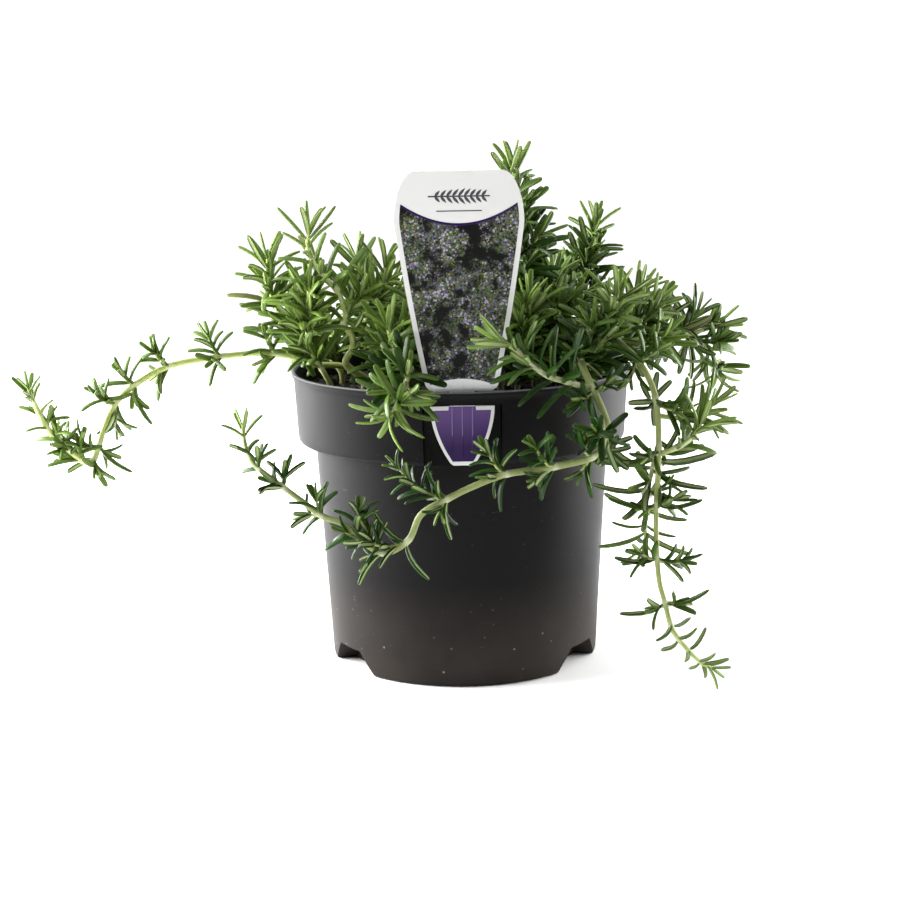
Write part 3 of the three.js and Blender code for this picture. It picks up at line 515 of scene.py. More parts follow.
def slab(x, z, front, back):
    """A closed sheet between a front and a back surface, both given on one (rows, columns) grid
    whose rows run upwards and whose columns run from -X to +X."""
    rows, columns = x.shape
    points = np.vstack([np.stack([x, y, z], axis=-1).reshape(-1, 3) for y in (front, back)])
    i, j = np.meshgrid(np.arange(rows - 1), np.arange(columns - 1), indexing="ij")
    here = i * columns + j
    face = np.stack([here, here + 1, here + 1 + columns, here + columns], axis=-1).reshape(-1, 4)
    total = rows * columns
    border = np.r_[
        np.arange(columns), np.arange(1, rows) * columns + columns - 1,
        total - 2 - np.arange(columns - 1), (rows - 2 - np.arange(rows - 2)) * columns,
    ]
    beside = np.roll(border, -1)
    edge = np.stack([border, border + total, beside + total, beside], axis=-1)
    return points, [face, face[:, ::-1] + total, edge]


def print_on(name, low, high, half, material, rows=2, ribs=None):
    """A thin printed area on the label's face, between two heights given as functions of x and
    inside a half width given as a function of height: three rounds settle x and z on each other.
    ribs is (x places, height of relief), and each rib's section is a bell curve."""
    part = np.linspace(0, 1, rows)[:, None]
    side = np.linspace(-1, 1, LABEL_COLUMNS * 2 + 1)[None]
    z = low(side * half(low(0.0))) * (1 - part) + high(side * half(high(0.0))) * part
    for _ in range(3):
        x = side * half(z)
        z = low(x) * (1 - part) + high(x) * part
    front = LABEL_FACE - PRINT_LIFT + 0 * x
    if ribs:
        for rib in ribs[0]:
            bell = np.exp(-(((x - rib) / RIB_HALF_WIDTH) ** 2))
            front = front - ribs[1] * bell * (part > 0) * (part < 1)
    back = LABEL_FACE + PRINT_SINK + 0 * x
    piece = make_piece(name, *slab(x, z, front, back), material, sharp=50)
    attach(piece, "root")


# The rows of the sheet are closer where its outline turns faster.
head_z = np.r_[HEAD_FOOT, 120.56, 120.7, 121, 121.5, 122.2, 123, 124,
               np.linspace(127, HEAD_WIDEST, 28),
               np.linspace(185, 199, 15), np.linspace(199.6, 202.6, 11), 202.9, 203]
tongue_z = np.r_[TONGUE_FOOT, 91.95, 92.1, 92.4, 92.8, 93.2, np.linspace(94, 114.4, 18), 114.75]
neck_z = np.array([114.8, 116.5, 118.5, 120.45])
label_z = np.r_[tongue_z, neck_z, head_z][:, None]
label_half = np.r_[tongue_half(tongue_z), NECK_HALF + 0 * neck_z, head_half(head_z)][:, None]
label_x = np.linspace(-1, 1, LABEL_COLUMNS + 1)[None] * label_half
label_z = label_z + 0 * label_x
flat = 0 * label_x

# White polypropylene sheet: a bright plain white with a faint satin gloss and a slight ripple.
label_white, tree, shader, place = start_material(
    "white_polypropylene_sheet", Base_Color=colour("#d0d0ce"), Roughness=0.34, IOR=1.49,
)
ripple = add_node(tree, "ShaderNodeTexNoise", {"Scale": 60, "Detail": 2}, in_Vector=place).outputs[0]
relief = add_node(
    tree, "ShaderNodeBump", {"Strength": 0.15, "Distance": 0.0004}, in_Height=ripple,
).outputs[0]
tree.links.new(relief, shader.inputs["Normal"])

label = make_piece(
    "label_sheet",
    *slab(label_x, label_z, flat + LABEL_FACE, flat + LABEL_Y + LABEL_HALF_THICKNESS),
    label_white,
)
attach(label, "root")
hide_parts("plant_label")

# The printed picture field: a plain pattern of fine foliage with ragged dark gaps, full of lilac,
# straw-coloured and green flecks, each some 0.5 to 0.9 mm wide.
foliage_print, tree, shader, place = start_material(
    "printed_foliage_pattern", Roughness=0.42, Specular_IOR_Level=0.12,
)
warp = add_node(tree, "ShaderNodeTexNoise", {"Scale": 1100, "Detail": 3}, in_Vector=place)
shifted = add_node(
    tree, "ShaderNodeMix", {"data_type": "VECTOR", 0: 0.0011}, in_4=place, in_5=warp.outputs["Color"],
).outputs[1]
leafy = add_node(tree, "ShaderNodeTexVoronoi", {"Scale": 1500}, in_Vector=shifted)
pick = add_node(tree, "ShaderNodeSeparateColor", {}, in_Color=leafy.outputs["Color"])
picture_colour = add_node(
    tree, "ShaderNodeMix", {"data_type": "RGBA", 6: colour("#050704"), 7: colour("#56633e")},
    in_0=pick.outputs[0],
).outputs[2]
clouds = add_node(
    tree, "ShaderNodeTexNoise", {"noise_dimensions": "4D", "Scale": 110, "Detail": 3, "W": 3.0},
    in_Vector=place,
).outputs[0]
# Each kind of fleck: its cells to the metre, its tone, and how few of the cells it fills.
for scale, tone, least in (
    (1500, "#44733e", 0.66), (1350, "#a08a5e", 0.78), (1250, "#5f5678", 0.56),
    (1100, "#a89fb4", 0.74),
):
    cells = add_node(tree, "ShaderNodeTexVoronoi", {"Scale": scale}, in_Vector=shifted)
    pick = add_node(tree, "ShaderNodeSeparateColor", {}, in_Color=cells.outputs["Color"])
    chosen = add_node(
        tree, "ShaderNodeMath", {"operation": "ADD"}, in_0=pick.outputs[1], in_1=clouds,
    ).outputs[0]
    chosen = add_node(
        tree, "ShaderNodeMapRange", {"From Min": least + 0.5, "From Max": least + 0.6},
        in_Value=chosen,
    ).outputs[0]
    shape = add_node(
        tree, "ShaderNodeMapRange", {"From Min": 0.6, "From Max": 0.3},
        in_Value=cells.outputs["Distance"],
    ).outputs[0]
    fleck = add_node(
        tree, "ShaderNodeMath", {"operation": "MULTIPLY"}, in_0=chosen, in_1=shape,
    ).outputs[0]
    picture_colour = add_node(
        tree, "ShaderNodeMix", {"data_type": "RGBA", 7: colour(tone)}, in_0=fleck, in_6=picture_colour,
    ).outputs[2]
# Ragged dark gaps, some 8 mm apart, where the noise is low.
mass = add_node(
    tree, "ShaderNodeTexNoise", {"Scale": 130, "Detail": 8, "Roughness": 0.72}, in_Vector=place,
).outputs[0]
light = add_node(
    tree, "ShaderNodeMapRange", {"From Min": 0.43, "From Max": 0.52}, in_Value=mass,
).outputs[0]
picture_colour = add_node(
    tree, "ShaderNodeMix", {"data_type": "RGBA", 6: colour("#090a09")}, in_0=light, in_7=picture_colour,
).outputs[2]
tree.links.new(picture_colour, shader.inputs["Base Color"])


def print_inset(z):
    """The printed area's half width on the head: a white border is left all round."""
    return head_half(z) - HEAD_BORDER


def picture_top(x):
    """The lower edge of the white top field, a parabola that bulges down in the middle."""
    return 182.7 + 7.1 * (x / 21.3) ** 2


def picture_foot(x):
    """The upper edge of the pale foot field, a parabola that bulges up in the middle."""
    return 125.3 - 2.2 * (x / 11.6) ** 2


print_on("label_picture", picture_foot, picture_top, print_inset, foliage_print, rows=24)

# Purple ink: a thin line over the picture, and the tongue's panel, which fades to a greyer tone
# towards its top. Three fine ribs in it are pressed pale, down to half its depth.
purple_ink, tree, shader, place = start_material(
    "printed_purple_ink", Roughness=0.3, Specular_IOR_Level=0.2,
)
position = add_node(tree, "ShaderNodeSeparateXYZ", {}, in_0=place)
ink_height = position.outputs["Z"]
fade = add_node(
    tree, "ShaderNodeMapRange", {"From Min": 0.099, "From Max": 0.114}, in_Value=ink_height,
).outputs[0]
on_tongue = add_node(
    tree, "ShaderNodeMapRange", {"From Min": 0.12, "From Max": 0.121, "To Min": 1, "To Max": 0},
    in_Value=ink_height,
).outputs[0]
fade = add_node(
    tree, "ShaderNodeMath", {"operation": "MULTIPLY"}, in_0=fade, in_1=on_tongue,
).outputs[0]
ink_colour = add_node(
    tree, "ShaderNodeMix", {"data_type": "RGBA", 6: colour("#210440"), 7: colour("#5a4078")},
    in_0=fade,
).outputs[2]
# The distance to the nearest rib runs to and fro between nothing and half the ribs' spacing.
from_rib = add_node(
    tree, "ShaderNodeMath", {"operation": "PINGPONG", 1: RIB_SPACING / 2000},
    in_0=position.outputs["X"],
).outputs[0]
rib_line = add_node(
    tree, "ShaderNodeMapRange", {"From Min": 0.00022, "From Max": 0.0001, "To Max": 0.3},
    in_Value=from_rib,
).outputs[0]
from_middle = add_node(
    tree, "ShaderNodeMath", {"operation": "ABSOLUTE"}, in_0=position.outputs["X"],
).outputs[0]
inner_three = add_node(
    tree, "ShaderNodeMapRange", {"From Min": 0.0056, "From Max": 0.0054}, in_Value=from_middle,
).outputs[0]
rib_end = add_node(
    tree, "ShaderNodeMapRange", {"From Min": 0.1028, "From Max": 0.104}, in_Value=ink_height,
).outputs[0]
for mask in (inner_three, rib_end, on_tongue):
    rib_line = add_node(
        tree, "ShaderNodeMath", {"operation": "MULTIPLY"}, in_0=rib_line, in_1=mask,
    ).outputs[0]
ink_colour = add_node(
    tree, "ShaderNodeMix", {"data_type": "RGBA", 7: colour("#a79fbe")}, in_0=rib_line, in_6=ink_colour,
).outputs[2]
tree.links.new(ink_colour, shader.inputs["Base Color"])


def line_over_picture(x):
    """The upper side of the purple line, 1 mm above the picture's top."""
    return picture_top(x) + 0.95


def tongue_print_foot(x):
    """The level lower edge of the tongue's panel."""
    return 93.4 + 0 * x


def tongue_print_top(x):
    """The upper edge of the tongue's panel: it runs up to the neck, and leaves a white strip on
    each shoulder."""
    return np.where(abs(x) < 5.2, 114.7, 113.2)


def tongue_inset(z):
    """The panel's half width on the tongue, inside a white border."""
    return tongue_half(z) - TONGUE_BORDER


print_on("label_purple_line", picture_top, line_over_picture, print_inset, purple_ink)
print_on(
    "label_tongue_panel", tongue_print_foot, tongue_print_top, tongue_inset, purple_ink, rows=30,
    ribs=((-RIB_SPACING, 0, RIB_SPACING), 0.1),
)

# The pale field at the head's foot, with three ribs pressed in from behind to stiffen the neck.
pale_ink = start_material(
    "printed_pale_grey_ink", Base_Color=colour("#dcdde0"), Roughness=0.36,
)[0]


def pale_foot(x):
    """The lower edge of the pale field, just above the head's foot."""
    return 121.4 + 0 * x


def under_picture(x):
    """The upper edge of the pale field, just under the picture."""
    return picture_foot(x) - 0.05


print_on(
    "label_foot_field", pale_foot, under_picture, print_inset, pale_ink, rows=8,
    ribs=((-RIB_SPACING, 0, RIB_SPACING), 0.12),
)

# A plain sprig and a thin rule, printed in dark grey where a label has its heading. The sprig has
# nine pairs of blades on a stalk, and each outline is a ring of 16 points. A blade's half width is
# the sine of its way along.
grey_ink = start_material(
    "printed_dark_grey_ink", Base_Color=colour("#3c3b40"), Roughness=0.35,
)[0]
SPRIG_Z = 193.6
RULE_Z = 188.2
sprig_step = np.linspace(-9, 8.4, 9)
blade_t = np.linspace(0, 1, 9)
blade_side = np.r_[blade_t, blade_t[-2:0:-1]]
blade_width = 0.55 * np.sin(np.pi * blade_side ** 0.8) * np.r_[np.ones(9), -np.ones(7)]
blade_points = []
for step in sprig_step:
    for way in (-1, 1):
        lean = np.radians(48 * way)
        length = 4.1 - 0.12 * abs(step)
        x = step + length * blade_side * np.cos(lean) - blade_width * np.sin(lean)
        z = SPRIG_Z + length * blade_side * np.sin(lean) + blade_width * np.cos(lean)
        blade_points.append(np.stack([x, 0 * x, z], axis=-1))
for x0, x1, z0, half in ((-11.5, 11.5, SPRIG_Z, 0.28), (-8.5, 8.5, RULE_Z, 0.22)):
    x = np.interp(np.arange(16), [0, 7, 8, 15], [x0, x1, x1, x0])
    z = z0 + half * np.where(np.arange(16) < 8, -1, 1)
    blade_points.append(np.stack([x, 0 * x, z], axis=-1))
flat_ring = np.array(blade_points)
ring_front = flat_ring + [0, LABEL_FACE - PRINT_LIFT, 0]
ring_back = flat_ring + [0, LABEL_FACE + PRINT_SINK, 0]
sprig_shapes = np.stack([ring_front, ring_back], axis=1).reshape(len(flat_ring), 32, 3)
k = np.arange(16)
side_quads = np.stack([k, k + 16, (k + 1) % 16 + 16, (k + 1) % 16], axis=-1)
strip = np.array([[i, i + 1, 15 - i, 16 - i] for i in range(1, 7)])
caps = np.concatenate([strip, strip[:, ::-1] + 16])
tips = np.array([[0, 1, 15], [7, 8, 9], [31, 17, 16], [25, 24, 23]])
sprig_points, sprig_faces = copies(sprig_shapes, np.concatenate([side_quads, caps]), tips)
sprig = make_piece("label_sprig", sprig_points, sprig_faces, grey_ink)
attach(sprig, "root")


# ---- Rosemary ----
# A trailing rosemary. Its stems are pale and square in section, swollen and woolly at the joints.
# Leaves stand in pairs that turn by a quarter from joint to joint: narrow and leathery, dark and
# grooved above, with rolled margins and a white felted stripe below. Short shoots grow in the axils.

# foot is where a stem leaves the soil (x, y), route holds the points it passes through above the
# soil, with its tip last, and radius is spread evenly from its foot to its tip. bare is the length
# without leaves, and fresh is painted light: it makes the leaves and bark paler on the stems that the
# lamps light more, most of all on the left, and darker on those at the front, where less light falls.
# joints gives the leaf joints of a stem that hangs: the mm along it, the turn of the leaf pair from
# upright in degrees, and the lengths of the short shoots in its two axils. A shoot of the list shoots
# starts on a point of its own stem.
stems = [
    {
        "name": "trail_left", "freshness_and_painted_light": 0.4, "foot": (-40, -6),
        "radius": (1.4, 1.3, 1.2, 1.15, 1.15, 1.2, 1.2, 1.0, 1.3, 1.2, 0.75),
        "joints": [
            (40, 60, 3, 3), (54, 0, 8, 3), (76, 20, 8, 4), (98, -20, 8, 3), (113, 10, 6, 4),
            (124, 0, 9, 8), (141, 0, 7, 3), (147, 50, 4, 3), (153, -30, 5, 3), (160, 50, 3, 3),
            (166, -35, 3, 2), (172, 45, 3, 2), (178, -40, 2, 2), (184, 50, 1, 1),
        ],
        "route": [
            (-47, -8, 122), (-59, -12, 124), (-69, -16, 128), (-80, -20, 130), (-87, -22, 130),
            (-101, -26, 129), (-115, -30, 127), (-126, -33, 122), (-135, -36, 115),
            (-139, -38, 109), (-143, -40, 98), (-146, -42, 91), (-149, -44, 92), (-155, -46, 98),
            (-161, -48, 105), (-165, -50, 115), (-167, -52, 122),
        ],
        "shoots": [{"radius": (1.1, 0.7), "route": [
            (-66, -15, 127), (-69, -17, 136), (-71, -18, 143), (-74, -20, 150), (-76, -22, 160),
            (-76, -22, 168),
        ]}],
    },
    {
        "name": "trail_front", "freshness_and_painted_light": -0.14, "foot": (40, -34),
        "radius": (1.5, 1.45, 1.4, 1.35, 1.4, 1.4, 1.3, 1.3, 1.25, 1.2, 1.1, 0.65),
        "joints": [
            (44, 20, 4, 4), (61, -60, 6, 7), (80, 180, 18, 13), (92, 0, 6, 6), (107, -10, 12, 5),
            (125, 10, 10, 3), (149, 0, 20, 3), (172, 0, 14, 2), (183, 10, 8, 3), (194, 20, 8, 4),
            (211, 0, 6, 4), (228, 60, 4, 3), (240, 0, 3, 2), (248, 80, 1, 1),
        ],
        "route": [
            (44, -48, 132), (47, -60, 126), (49, -68, 121), (51, -73, 117), (53, -76, 112),
            (54, -78, 108), (52, -80, 103), (50, -82, 99), (46, -84, 97), (40, -86, 96),
            (32, -88, 95), (23, -89, 94), (15, -90, 93), (4, -90, 89), (-6, -89, 84),
            (-16, -88, 78), (-21, -87, 68), (-30, -86, 63), (-35, -85, 65), (-46, -82, 74),
            (-53, -80, 76), (-60, -78, 81), (-67, -76, 86), (-74, -74, 91), (-79, -72, 95),
            (-82, -70, 101), (-83, -69, 109),
        ],
        "shoots": [{"radius": (1.2, 0.8), "route": [
            (49, -68, 121), (38, -75, 125), (31, -79, 128), (24, -81, 134), (19, -82, 139),
            (14, -82, 141),
        ]}],
    },
    {
        "name": "trail_right", "freshness_and_painted_light": 0.1, "foot": (44, -20),
        "radius": (1.5, 1.5, 1.4, 1.35, 1.25, 1.15, 1.1, 1.1, 1.1, 0.7),
        "joints": [
            (38, 0, 4, 4), (52, 40, 6, 5), (68, -20, 8, 7), (86, 60, 9, 9), (104, 150, 6, 6),
            (126, 0, 7, 3), (147, 0, 9, 7), (165, 20, 4, 3), (174, -60, 2, 2),
            (180, 30, 2, 2), (186, -50, 2, 2), (191, 40, 1, 1),
        ],
        "route": [
            (55, -36, 138), (59, -42, 137), (63, -48, 134), (67, -53, 130), (71, -57, 124),
            (74, -60, 115), (75, -62, 96), (74, -63, 75), (74, -64, 60), (75, -65, 45),
            (77, -66, 37), (80, -68, 26), (85, -69, 19), (91, -70, 13), (95, -70, 11),
        ],
        "shoots": [
            {"radius": (1.1, 0.7), "route": [
                (75, -62, 99), (73, -57, 87), (71, -54, 74), (71, -53, 66), (71, -52, 57),
            ]},
            {"radius": (1.0, 0.7), "route": [
                (74, -61, 109), (84, -56, 107), (92, -52, 108), (97, -50, 111),
            ]},
            {"radius": (1.0, 0.7), "route": [
                (75, -62, 94), (83, -66, 98), (88, -69, 103), (90, -70, 107),
            ]},
        ],
    },
    {
        "name": "arch_back_right", "foot": (42, 26), "radius": (1.5, 0.8),
        "joints": [
            (34, 0, 6, 5), (42, 80, 6, 5), (50, 0, 8, 6), (58, 80, 8, 7), (66, 0, 9, 6),
            (74, 80, 9, 7), (82, 0, 9, 6), (90, 80, 8, 6), (98, 0, 6, 4), (105, 80, 4, 3),
        ],
        "route": [
            (56, 28, 124), (71, 34, 126), (78, 40, 127), (90, 48, 127), (102, 54, 125),
            (109, 58, 119), (114, 60, 112), (115, 60, 106),
        ],
        "shoots": [
            {"radius": (1.0, 0.8), "route": [(102, 54, 125), (110, 56, 127), (116, 57, 128)]},
        ],
    },
    {
        "name": "trail_back", "foot": (-10, 50), "radius": (1.6, 0.8),
        "joints": [
            (30, 0, 5, 5), (44, 30, 7, 6), (54, 100, 7, 6), (64, 0, 9, 6), (78, 60, 9, 7),
            (90, 0, 6, 5), (101, 70, 3, 3),
        ],
        "route": [
            (-12, 62, 124), (-14, 72, 127), (-17, 83, 122), (-20, 90, 110), (-22, 93, 94),
            (-21, 95, 78), (-18, 97, 66),
        ],
        "shoots": [{"radius": (1.0, 0.7), "route": [(-20, 90, 110), (-27, 95, 108), (-34, 99, 111)]}],
    },
    {
        "name": "hang_front_left", "freshness_and_painted_light": -0.1, "foot": (-19, -46), "radius": (1.35, 0.8),
        "joints": [
            (35, 30, 4, 0), (41, 80, 5, 0), (47, 0, 4, 3), (53, 60, 5, 3), (58, -30, 3, 3),
            (62, 60, 2, 2),
        ],
        "route": [
            (-19, -57, 128), (-20, -67, 128), (-21, -75, 125), (-23, -80, 120), (-27, -83, 114),
        ],
        "shoots": [],
    },
    {
        "name": "bent_left", "freshness_and_painted_light": 0.46, "foot": (-36, -22), "radius": (1.8, 0.8), "bare": 44,
        "route": [
            (-46, -24, 126), (-43, -25, 132), (-43, -26, 137), (-46, -27, 142), (-44, -27, 147),
            (-40, -26, 149), (-36, -24, 150), (-33, -23, 152), (-30, -22, 159), (-29, -21, 165),
        ],
        "shoots": [
            {"radius": (1.1, 0.7), "route": [
                (-45, -27, 145), (-47, -30, 153), (-50, -32, 158), (-54, -34, 163),
                (-57, -35, 168), (-59, -36, 173), (-58, -36, 180),
            ]},
            {"radius": (1.0, 0.7), "route": [
                (-36, -24, 150), (-37, -20, 155), (-40, -17, 162), (-41, -16, 167),
            ]},
        ],
    },
    {
        "name": "upright_label", "foot": (14, -8), "radius": (1.5, 0.8), "bare": 20,
        "route": [
            (20, -11, 134), (21, -16, 153), (24, -20, 169), (23, -22, 183), (21, -23, 195),
            (21, -24, 202),
        ],
        "shoots": [],
    },
    {
        "name": "upright_back", "foot": (24, 40), "radius": (1.4, 0.8), "bare": 20,
        "route": [
            (40, 43, 130), (51, 46, 142), (53, 48, 150), (56, 50, 159), (59, 51, 167),
            (60, 52, 174),
        ],
        "shoots": [],
    },
    {
        "name": "left_edge", "freshness_and_painted_light": 0.46, "foot": (-52, -26), "radius": (1.3, 0.8), "bare": 23,
        "route": [(-60, -30, 134), (-60, -33, 143), (-59, -35, 151), (-59, -36, 158)],
        "shoots": [],
    },
    {
        "name": "left_whorl", "foot": (-31, -36), "radius": (1.3, 0.8), "bare": 14,
        "route": [(-27, -45, 130), (-27, -49, 138), (-28, -51, 144)],
        "shoots": [],
    },
    {
        "name": "left_mid", "freshness_and_painted_light": 0.46, "foot": (-22, -16), "radius": (1.35, 0.8), "bare": 14,
        "route": [(-21, -20, 132), (-20, -24, 145), (-18, -27, 153)],
        "shoots": [{"radius": (0.9, 0.7), "route": [(-21, -20, 132), (-27, -22, 137), (-33, -26, 138)]}],
    },
    {
        "name": "left_back", "freshness_and_painted_light": 0.46, "foot": (-26, 12), "radius": (1.35, 0.8), "bare": 14,
        "route": [(-31, 15, 132), (-36, 18, 145), (-38, 20, 153)],
        "shoots": [{"radius": (0.9, 0.7), "route": [(-31, 15, 132), (-24, 20, 139), (-20, 22, 146)]}],
    },
    {
        "name": "left_rim", "freshness_and_painted_light": 0.46, "foot": (-50, 12), "radius": (1.3, 0.8), "bare": 17,
        "route": [(-58, 14, 128), (-64, 15, 138), (-67, 14, 146)],
        "shoots": [],
    },
    {
        "name": "centre", "foot": (-4, 8), "radius": (1.4, 0.8), "bare": 14,
        "route": [(-6, 9, 134), (-9, 10, 147), (-10, 10, 156)],
        "shoots": [{"radius": (0.9, 0.7), "route": [(-6, 9, 134), (-12, 4, 140), (-17, 0, 144)]}],
    },
    {
        "name": "behind_label", "foot": (0, -34), "radius": (1.3, 0.8), "bare": 14,
        "route": [(-2, -40, 129), (-5, -45, 139), (-6, -47, 146)],
        "shoots": [{"radius": (0.9, 0.7), "route": [(-2, -40, 129), (5, -46, 134), (9, -49, 139)]}],
    },
    {
        "name": "centre_front", "foot": (-2, -14), "radius": (1.35, 0.8), "bare": 14,
        "route": [(-1, -19, 134), (-3, -24, 148), (-3, -26, 157)],
        "shoots": [],
    },
    {
        "name": "right_old", "foot": (16, -22), "radius": (1.7, 1.0), "bare": 20,
        "route": [(20, -22, 136), (27, -25, 145), (35, -30, 146), (43, -37, 143), (49, -41, 137)],
        "shoots": [],
    },
    {
        "name": "label_right", "foot": (22, -38), "radius": (1.3, 0.8), "bare": 14,
        "route": [(23, -42, 132), (26, -44, 144), (27, -46, 152)],
        "shoots": [],
    },
    {
        "name": "right_front", "foot": (42, -45), "radius": (1.3, 0.8), "bare": 14,
        "route": [(49, -51, 131), (55, -53, 138), (58, -52, 147), (60, -50, 155)],
        "shoots": [],
    },
    {
        "name": "right_outer", "foot": (55, -8), "radius": (1.3, 0.8), "bare": 14,
        "route": [(65, -13, 130), (71, -16, 138), (76, -17, 143), (79, -18, 147)],
        "shoots": [{"radius": (0.9, 0.7), "route": [(65, -13, 130), (74, -22, 131), (80, -28, 134)]}],
    },
    {
        "name": "right_top", "foot": (30, -12), "radius": (1.35, 0.8), "bare": 14,
        "route": [(34, -11, 138), (37, -9, 150), (38, -8, 157)],
        "shoots": [{"radius": (0.9, 0.7), "route": [(34, -11, 138), (42, -14, 144), (46, -15, 150)]}],
    },
    {
        "name": "right_rim", "foot": (56, 10), "radius": (1.3, 0.8), "bare": 14,
        "route": [(65, 10, 132), (71, 8, 143), (75, 8, 150)],
        "shoots": [{"radius": (0.9, 0.7), "route": [(65, 10, 132), (74, 17, 135), (80, 21, 140)]}],
    },
    {
        "name": "right_back", "foot": (27, 12), "radius": (1.35, 0.8), "bare": 14,
        "route": [(33, 15, 134), (38, 17, 147), (40, 17, 156)],
        "shoots": [{"radius": (0.9, 0.7), "route": [(33, 15, 134), (44, 19, 139), (50, 21, 145)]}],
    },
    {
        "name": "back_centre", "foot": (10, 23), "radius": (1.35, 0.8), "bare": 14,
        "route": [(13, 27, 134), (17, 32, 147), (18, 34, 156)],
        "shoots": [{"radius": (0.9, 0.7), "route": [(13, 27, 134), (7, 33, 140), (3, 36, 146)]}],
    },
    {
        "name": "back_left", "foot": (-29, 36), "radius": (1.3, 0.8), "bare": 14,
        "route": [(-35, 42, 128), (-42, 48, 137), (-47, 51, 143)],
        "shoots": [{"radius": (0.9, 0.7), "route": [(-35, 42, 128), (-30, 51, 134), (-27, 57, 139)]}],
    },
    {
        "name": "back_low", "foot": (10, 50), "radius": (1.3, 0.8), "bare": 12,
        "route": [(14, 58, 126), (20, 66, 132), (24, 71, 136)],
        "shoots": [],
    },
]

STEM_COLUMNS = 12
STEM_STEP = 1.5
UP = np.array([0.0, 0.0, 1.0])

# A stem's foot runs straight up out of the soil through these heights.
FOOT_HEIGHTS = (101.5, 109.5, 116.5)

# Leaf lengths in mm: on a stem's joints, on the short shoots and at the ends of those. REACH scales
# them, because the leaves of the long trailing stems are shorter than those of the bushes.
JOINT_LEAF = (13.5, 18)
SHOOT_LEAF = (11, 15)
SHOOT_END_LEAF = (7, 10)
TRAIL_REACH = 0.82
BUSH_REACH = 1.25

# Joints that have no list keep clear of a stem's foot, of a side shoot's foot and of the tip.
BARE_FOOT = 14
BARE_SHOOT = 5.5
TIP_GAP = 5.5

# A leaf's rings: how far along each one lies and how wide it is, and the outline of each ring as
# (across, up) in half widths, from the groove on top round the rolled margins to the felted stripe.
LEAF_ALONG = np.array([0.02, 0.09, 0.23, 0.43, 0.64, 0.83, 0.945, 0.988])
LEAF_WIDTHS = np.array([0.42, 0.66, 0.88, 1.0, 1.0, 0.94, 0.78, 0.46])
LEAF_RING = np.array([
    (0, 0.26), (-0.5, 0.46), (-0.98, 0.1), (-0.78, -0.44), (-0.36, -0.24), (0.36, -0.24),
    (0.78, -0.44), (0.98, 0.1), (0.5, 0.46),
])
RING_FELT = (0, 0, 0, 0, 1, 1, 0, 0, 0)
# RING_GROOVE marks the groove's bottom, which the leaf material darkens with painted shade.
RING_GROOVE = (1, 0, 0, 0, 0, 0, 0, 0, 0)

# The turns about the stem, in degrees, that a leaf tries in this order until it finds room.
TRY_TURNS = np.radians([0, 20, -20, 40, -40, 70, -70, 110, -110])


def unit(vector):
    """The vectors along the last axis, each with length 1."""
    return vector / np.linalg.norm(vector, axis=-1, keepdims=True)


def smooth_path(points, spacing):
    """A centripetal Catmull-Rom curve through the points, which is a cubic between each two whose
    slopes come from the square roots of their distances. Returns evenly spaced points, their
    tangents and how far along each one lies."""
    points = np.array(points, float)
    points = np.vstack([2 * points[0] - points[1], points, 2 * points[-1] - points[-2]])
    p0, p1, p2, p3 = points[:-3], points[1:-2], points[2:-1], points[3:]
    d0, d1, d2 = (
        np.sqrt(np.linalg.norm(b - a, axis=1, keepdims=True)) for a, b in ((p0, p1), (p1, p2), (p2, p3))
    )
    slope1 = ((p1 - p0) / d0 - (p2 - p0) / (d0 + d1) + (p2 - p1) / d1) * d1
    slope2 = ((p2 - p1) / d1 - (p3 - p1) / (d1 + d2) + (p3 - p2) / d2) * d1
    t = np.linspace(0, 1, 24, endpoint=False)[None, :, None]
    p1, p2, slope1, slope2 = p1[:, None], p2[:, None], slope1[:, None], slope2[:, None]
    curve = p1 + slope1 * t + (3 * (p2 - p1) - 2 * slope1 - slope2) * t ** 2
    curve = curve + (2 * (p1 - p2) + slope1 + slope2) * t ** 3
    curve = np.vstack([curve.reshape(-1, 3), points[-2]])
    along = np.r_[0, np.cumsum(np.linalg.norm(np.diff(curve, axis=0), axis=1))]
    steps = max(4, int(round(along[-1] / spacing)))
    at = np.linspace(0, along[-1], steps + 1)
    even = np.stack([np.interp(at, along, curve[:, k]) for k in range(3)], axis=-1)
    return even, unit(np.gradient(even, axis=0)), at


def pot_wall(z):
    """The pot's outer radius at a height: straight lines for the collar and for the body."""
    return np.where(z > STEP, 67.5 + 2.5 * (z - STEP) / 29, 55.5 + 5 * z / STEP)


def is_open_place(points, margin):
    """True where points keep clear of the ground, the pot, the soil and the label: a point within
    the pot's radius is over the soil, and it is over the rim, inside it, or outside the wall."""
    x, y, z = points[..., 0], points[..., 1], points[..., 2]
    out = np.hypot(x, y)
    clear = z > margin
    clear &= (out > 68.7) | (z > SOIL_LEVEL + 1.2 + margin)
    in_pot = (out < 66.2 - margin) & (z > SOIL_LEVEL + 0.5)
    at_pocket = (abs(x) < 17) & (y < -SOIL_FRONT)
    clear &= (z > RIM_TOP + 0.1 + margin) | (in_pot & ~at_pocket) | (out > pot_wall(z) + margin)
    by_label = abs(y - LABEL_Y) < LABEL_HALF_THICKNESS + margin
    by_label &= (z > 91) & (abs(x) < head_half(z) + margin)
    return clear & ~by_label


def turned_about(vector, axis, angle):
    """A vector turned about an axis by an angle (Rodrigues' formula)."""
    return (
        vector * np.cos(angle) + np.cross(axis, vector) * np.sin(angle)
        + axis * np.dot(axis, vector) * (1 - np.cos(angle))
    )


